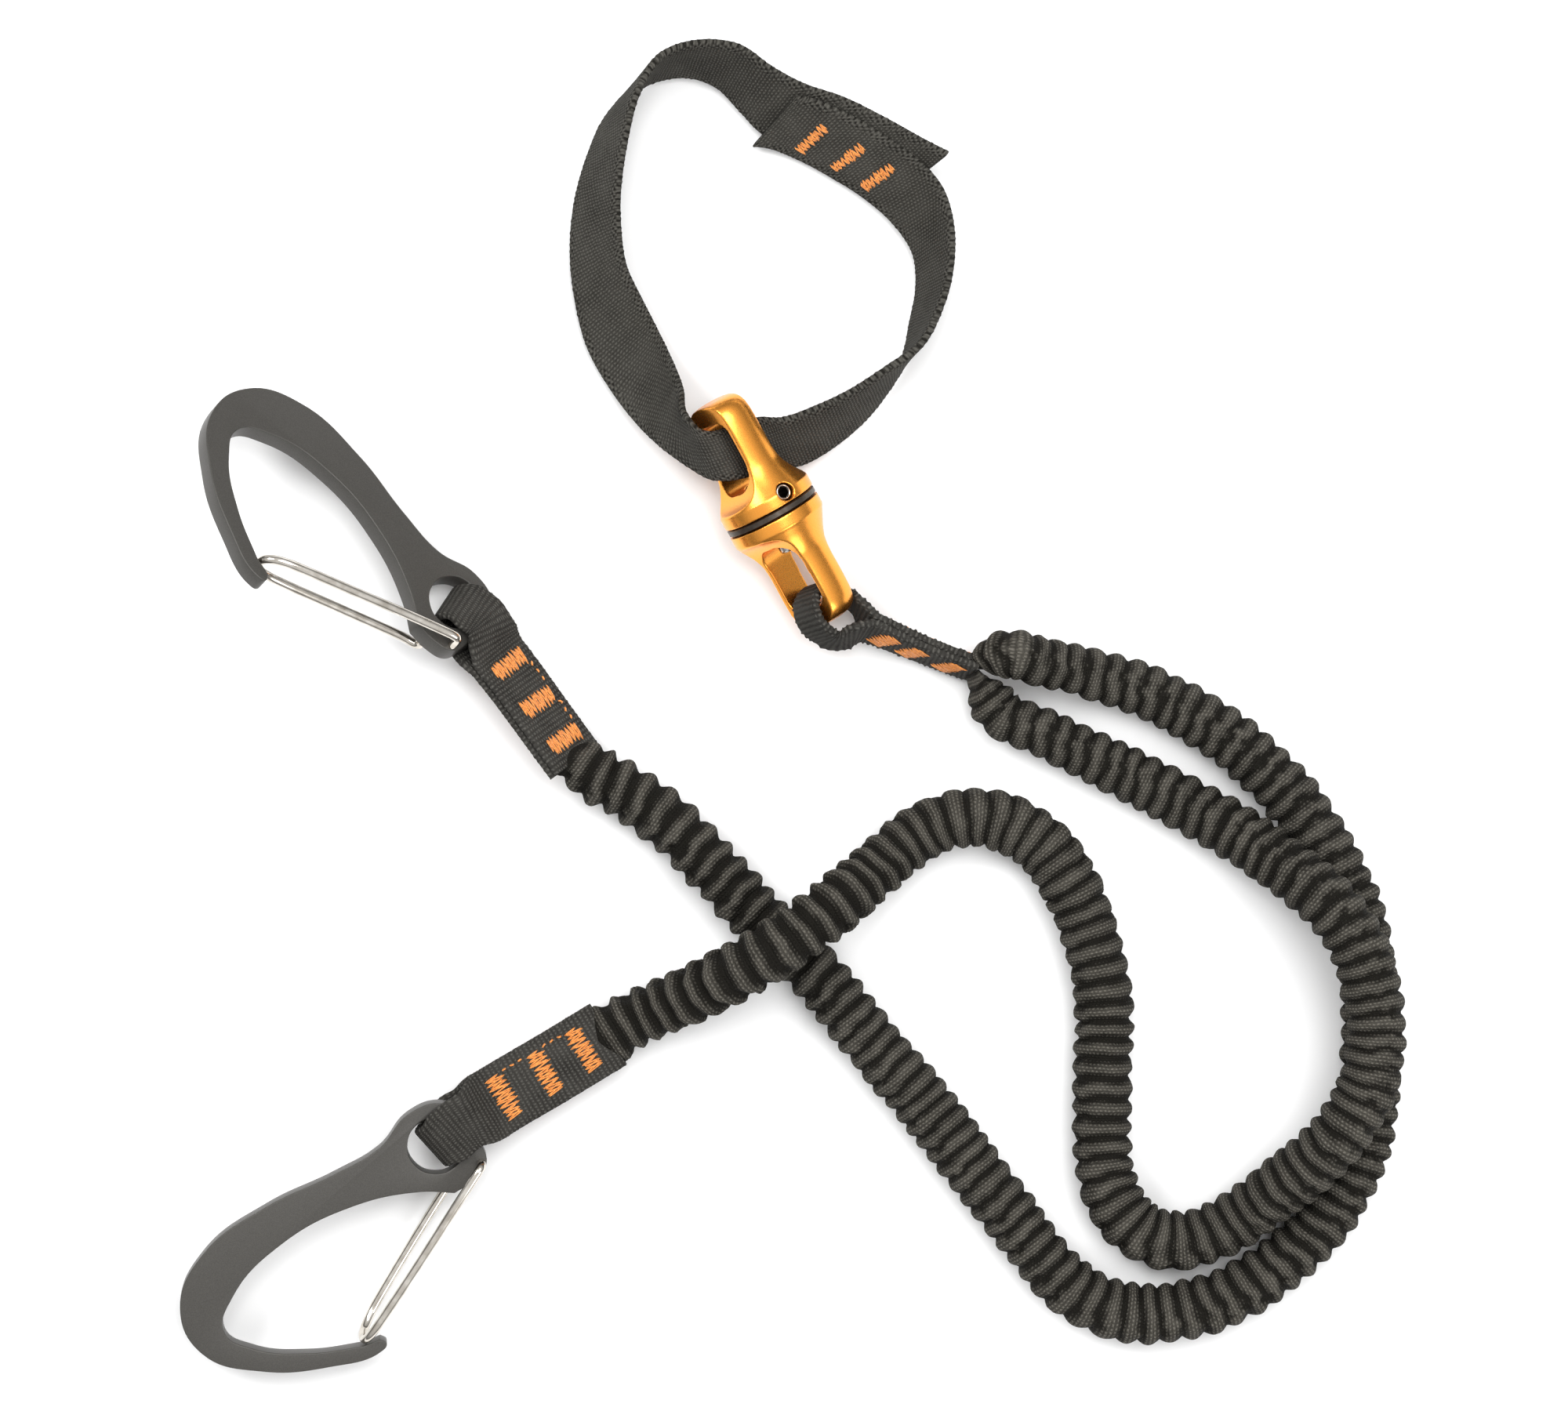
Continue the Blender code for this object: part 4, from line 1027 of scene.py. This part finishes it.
def sleeve_rings(line, sides, flats, seed):
    """Rings of the pleated sleeve; flats are the half sizes where it runs into each tab."""
    runs = running(line)
    rings = []
    fold_shade = []
    phase = 0.0
    for index, point in enumerate(line):
        along, side = sides[index]
        other = along.cross(side)
        done = runs[index]
        left = runs[-1] - done
        share = min(ease(done / (9 * MM)), ease(left / (9 * MM)))
        flat_wide, flat_thick = flats[0] if done < left else flats[1]
        full = SLEEVE_OUT - 1.3 * MM * (1 - ease(done / (95 * MM)))
        full += 0.25 * MM * noise.noise(Vector((done * 25, seed, 2)))
        wide = flat_wide + (full - flat_wide) * share
        thick = flat_thick + (full - flat_thick) * share
        depth = (0.19 + 0.06 * noise.noise(Vector((done * 60, seed, 3)))) * ease(min(done, left) / (4 * MM))
        last = ease((105 * MM - left) / (50 * MM))
        depth *= 1 + 0.25 * last
        if index:
            pitch = (1 + 0.2 * last) * PLEAT * (1 + 0.22 * noise.noise(Vector((done * 45, seed * 2.3, 0))))
            pitch *= 0.7 + 0.3 * ease(done / (22 * MM))
            phase += (done - runs[index - 1]) / pitch
        ring = []
        for step in range(SIDES):
            angle = 2 * math.pi * step / SIDES
            fold = pleat(phase, angle, seed, done, last)
            around = Vector((done * 150, math.cos(angle) * 1.8, math.sin(angle) * 1.8 + seed))
            size = min(1 - depth * fold + 0.4 * depth * noise.noise(around), 1.02)
            ring.append(point + side * math.cos(angle) * wide * size + other * math.sin(angle) * thick * size)
            # Painted shade: from 0.12 deep in a fold to 1 on a crest, multiplied into the sleeve's colour.
            fold_shade.append(0.12 + 0.88 * (1 - fold) ** 1.4)
        rings.append(ring)
    return rings, runs, fold_shade


def build_arm(prefix, route_mm, first, last, first_width, last_width, flats, seed):
    line, sides = sleeve_line(route_mm, first, last, first_width, last_width)
    rings, runs, fold_shade = sleeve_rings(line, sides, flats, seed)
    around = [2 * math.pi * step / SIDES * 7.2 * MM for step in range(SIDES + 1)]
    mesh = skin_mesh(prefix + "_pleated_sleeve", rings, runs, around, fold_shade)
    piece = new_object(prefix + "_pleated_sleeve", mesh, "leash", prefix + "_sleeve", material=SLEEVE,
                       slot="webbing_charcoal")
    path = [tuple(SHIFT @ point) for point in line[::8]] + [tuple(SHIFT @ line[-1])]
    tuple(path[0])


# ---------- camera, floor and light ----------

def add_camera():
    data = bpy.data.cameras.new("photo_camera")
    data.lens = CAMERA_LENS
    data.sensor_width = 36
    data.clip_end = 20
    camera = bpy.data.objects.new("photo_camera", data)
    camera.location = CAMERA_AT
    bpy.context.scene.collection.objects.link(camera)
    bpy.context.scene.camera = camera


def add_area(name, place, size, power):
    data = bpy.data.lights.new(name, "AREA")
    data.shape = "RECTANGLE"
    data.size, data.size_y = size
    data.energy = power
    lamp = bpy.data.objects.new(name, data)
    lamp.location = place
    target = Vector((0.05, 0, 0))
    lamp.rotation_euler = (target - Vector(place)).to_track_quat("-Z", "Y").to_euler()
    bpy.context.scene.collection.objects.link(lamp)


def add_studio():
    shader = Shader("studio_floor", 0.9)
    shader.colour(shader.ramp(shader.noise(3), (0.3, (0.93, 0.93, 0.93)), (0.7, (0.94, 0.94, 0.94))))
    mesh = bpy.data.meshes.new("studio_floor")
    corners = [(x * FLOOR_REACH, y * FLOOR_REACH, FLOOR_Z) for x, y in ((-1, -1), (1, -1), (1, 1), (-1, 1))]
    mesh.from_pydata(corners, [], [(0, 1, 2, 3)])
    floor = bpy.data.objects.new("studio_floor", mesh)
    floor.data.materials.append(shader.material)
    bpy.context.scene.collection.objects.link(floor)
    world = bpy.data.worlds.new("studio")
    world.use_nodes = True
    tree = world.node_tree
    parts = tree.nodes.new("ShaderNodeSeparateXYZ")
    ramp = tree.nodes.new("ShaderNodeValToRGB")
    tree.links.new(tree.nodes.new("ShaderNodeTexCoord").outputs["Generated"], parts.inputs[0])
    tree.links.new(parts.outputs["Z"], ramp.inputs["Fac"])
    tree.links.new(ramp.outputs["Color"], tree.nodes["Background"].inputs["Color"])
    for element, (height, light) in zip(ramp.color_ramp.elements, ((0.15, 0.25), (0.75, 1.0))):
        element.position = height
        element.color = (light, light, light, 1)
    tree.nodes["Background"].inputs["Strength"].default_value = 0.9
    bpy.context.scene.world = world
    add_area("key", (-0.8, 0.6, 1.2), (0.5, 0.5), 9)
    add_area("top", (0.35, 0.45, 1.6), (0.9, 0.9), 17)
    add_area("side", (0.9, -0.7, 0.8), (0.6, 0.6), 5)
    bpy.context.scene.view_settings.view_transform = "Standard"


def end_of(tab):
    centre, tangent, width, _, _, _ = tab.station(tab.length)
    return centre, tangent, width


add_camera()
add_studio()
build_carabiner("upper", HIGH_FRAME, *UPPER_TRIM)
build_carabiner("lower", LOW_FRAME, *LOWER_TRIM)
fold_at = Vector((FOLD_X, EYE_CENTRE[1], 0))
high_tab = Tab(HIGH_FRAME @ fold_at, HIGH_FRAME.col[1].xyz, HIGH_TAB_WIDTH, HIGH_TAB_ROUTE_MM, TAB_FOLD,
               TAB_WIDTHS, 7 * MM, 7 * MM)
low_tab = Tab(LOW_FRAME @ fold_at, -LOW_FRAME.col[1].xyz, LOW_TAB_WIDTH, LOW_TAB_ROUTE_MM, TAB_FOLD,
              TAB_WIDTHS, 7 * MM, 7 * MM)
build_tab("upper_tab", high_tab, TACK_PLACES)
build_tab("lower_tab", low_tab, TACK_PLACES)
bar = across_swivel(LOWER_ROLL)
bar_at = SWIVEL_AT - SWIVEL_AXIS * (EYE_FAR + BODY_END) / 2
join_tab = Tab(bar_at, bar, JOIN_WIDTH, JOIN_ROUTE_MM, JOIN_FOLD, JOIN_WIDTHS, 5 * MM, 9 * MM, JOIN_SKEW)
build_tab("join", join_tab, JOIN_TACK_PLACES)
build_swivel()
build_sling()
join_end, join_along, join_width = end_of(join_tab)
side = join_along.cross(join_width)
for prefix, route, tab, seed, hand in (("arm_a", ARM_A_ROUTE_MM, high_tab, 1, -1),
                                       ("arm_b", ARM_B_ROUTE_MM, low_tab, 5, 1)):
    tab_end, tab_along, tab_width = end_of(tab)
    start = join_end + side * 1.3 * MM * hand - join_along * MM
    build_arm(prefix, route, start, tab_end - tab_along * 3 * MM, join_width, tab_width,
              (JOIN_END_SIZE, TAB_END_SIZE), seed)
shown_as_packed = [("arm_a_core", RUBBER), ("arm_b_core", RUBBER)]
shown_as_packed += [(f"bearing_ball_{number}", STEEL) for number in range(1, BALLS + 1)]
for node, material in shown_as_packed:
    bpy.data.objects[node].data.materials.clear()
    bpy.data.objects[node].data.materials.append(material)
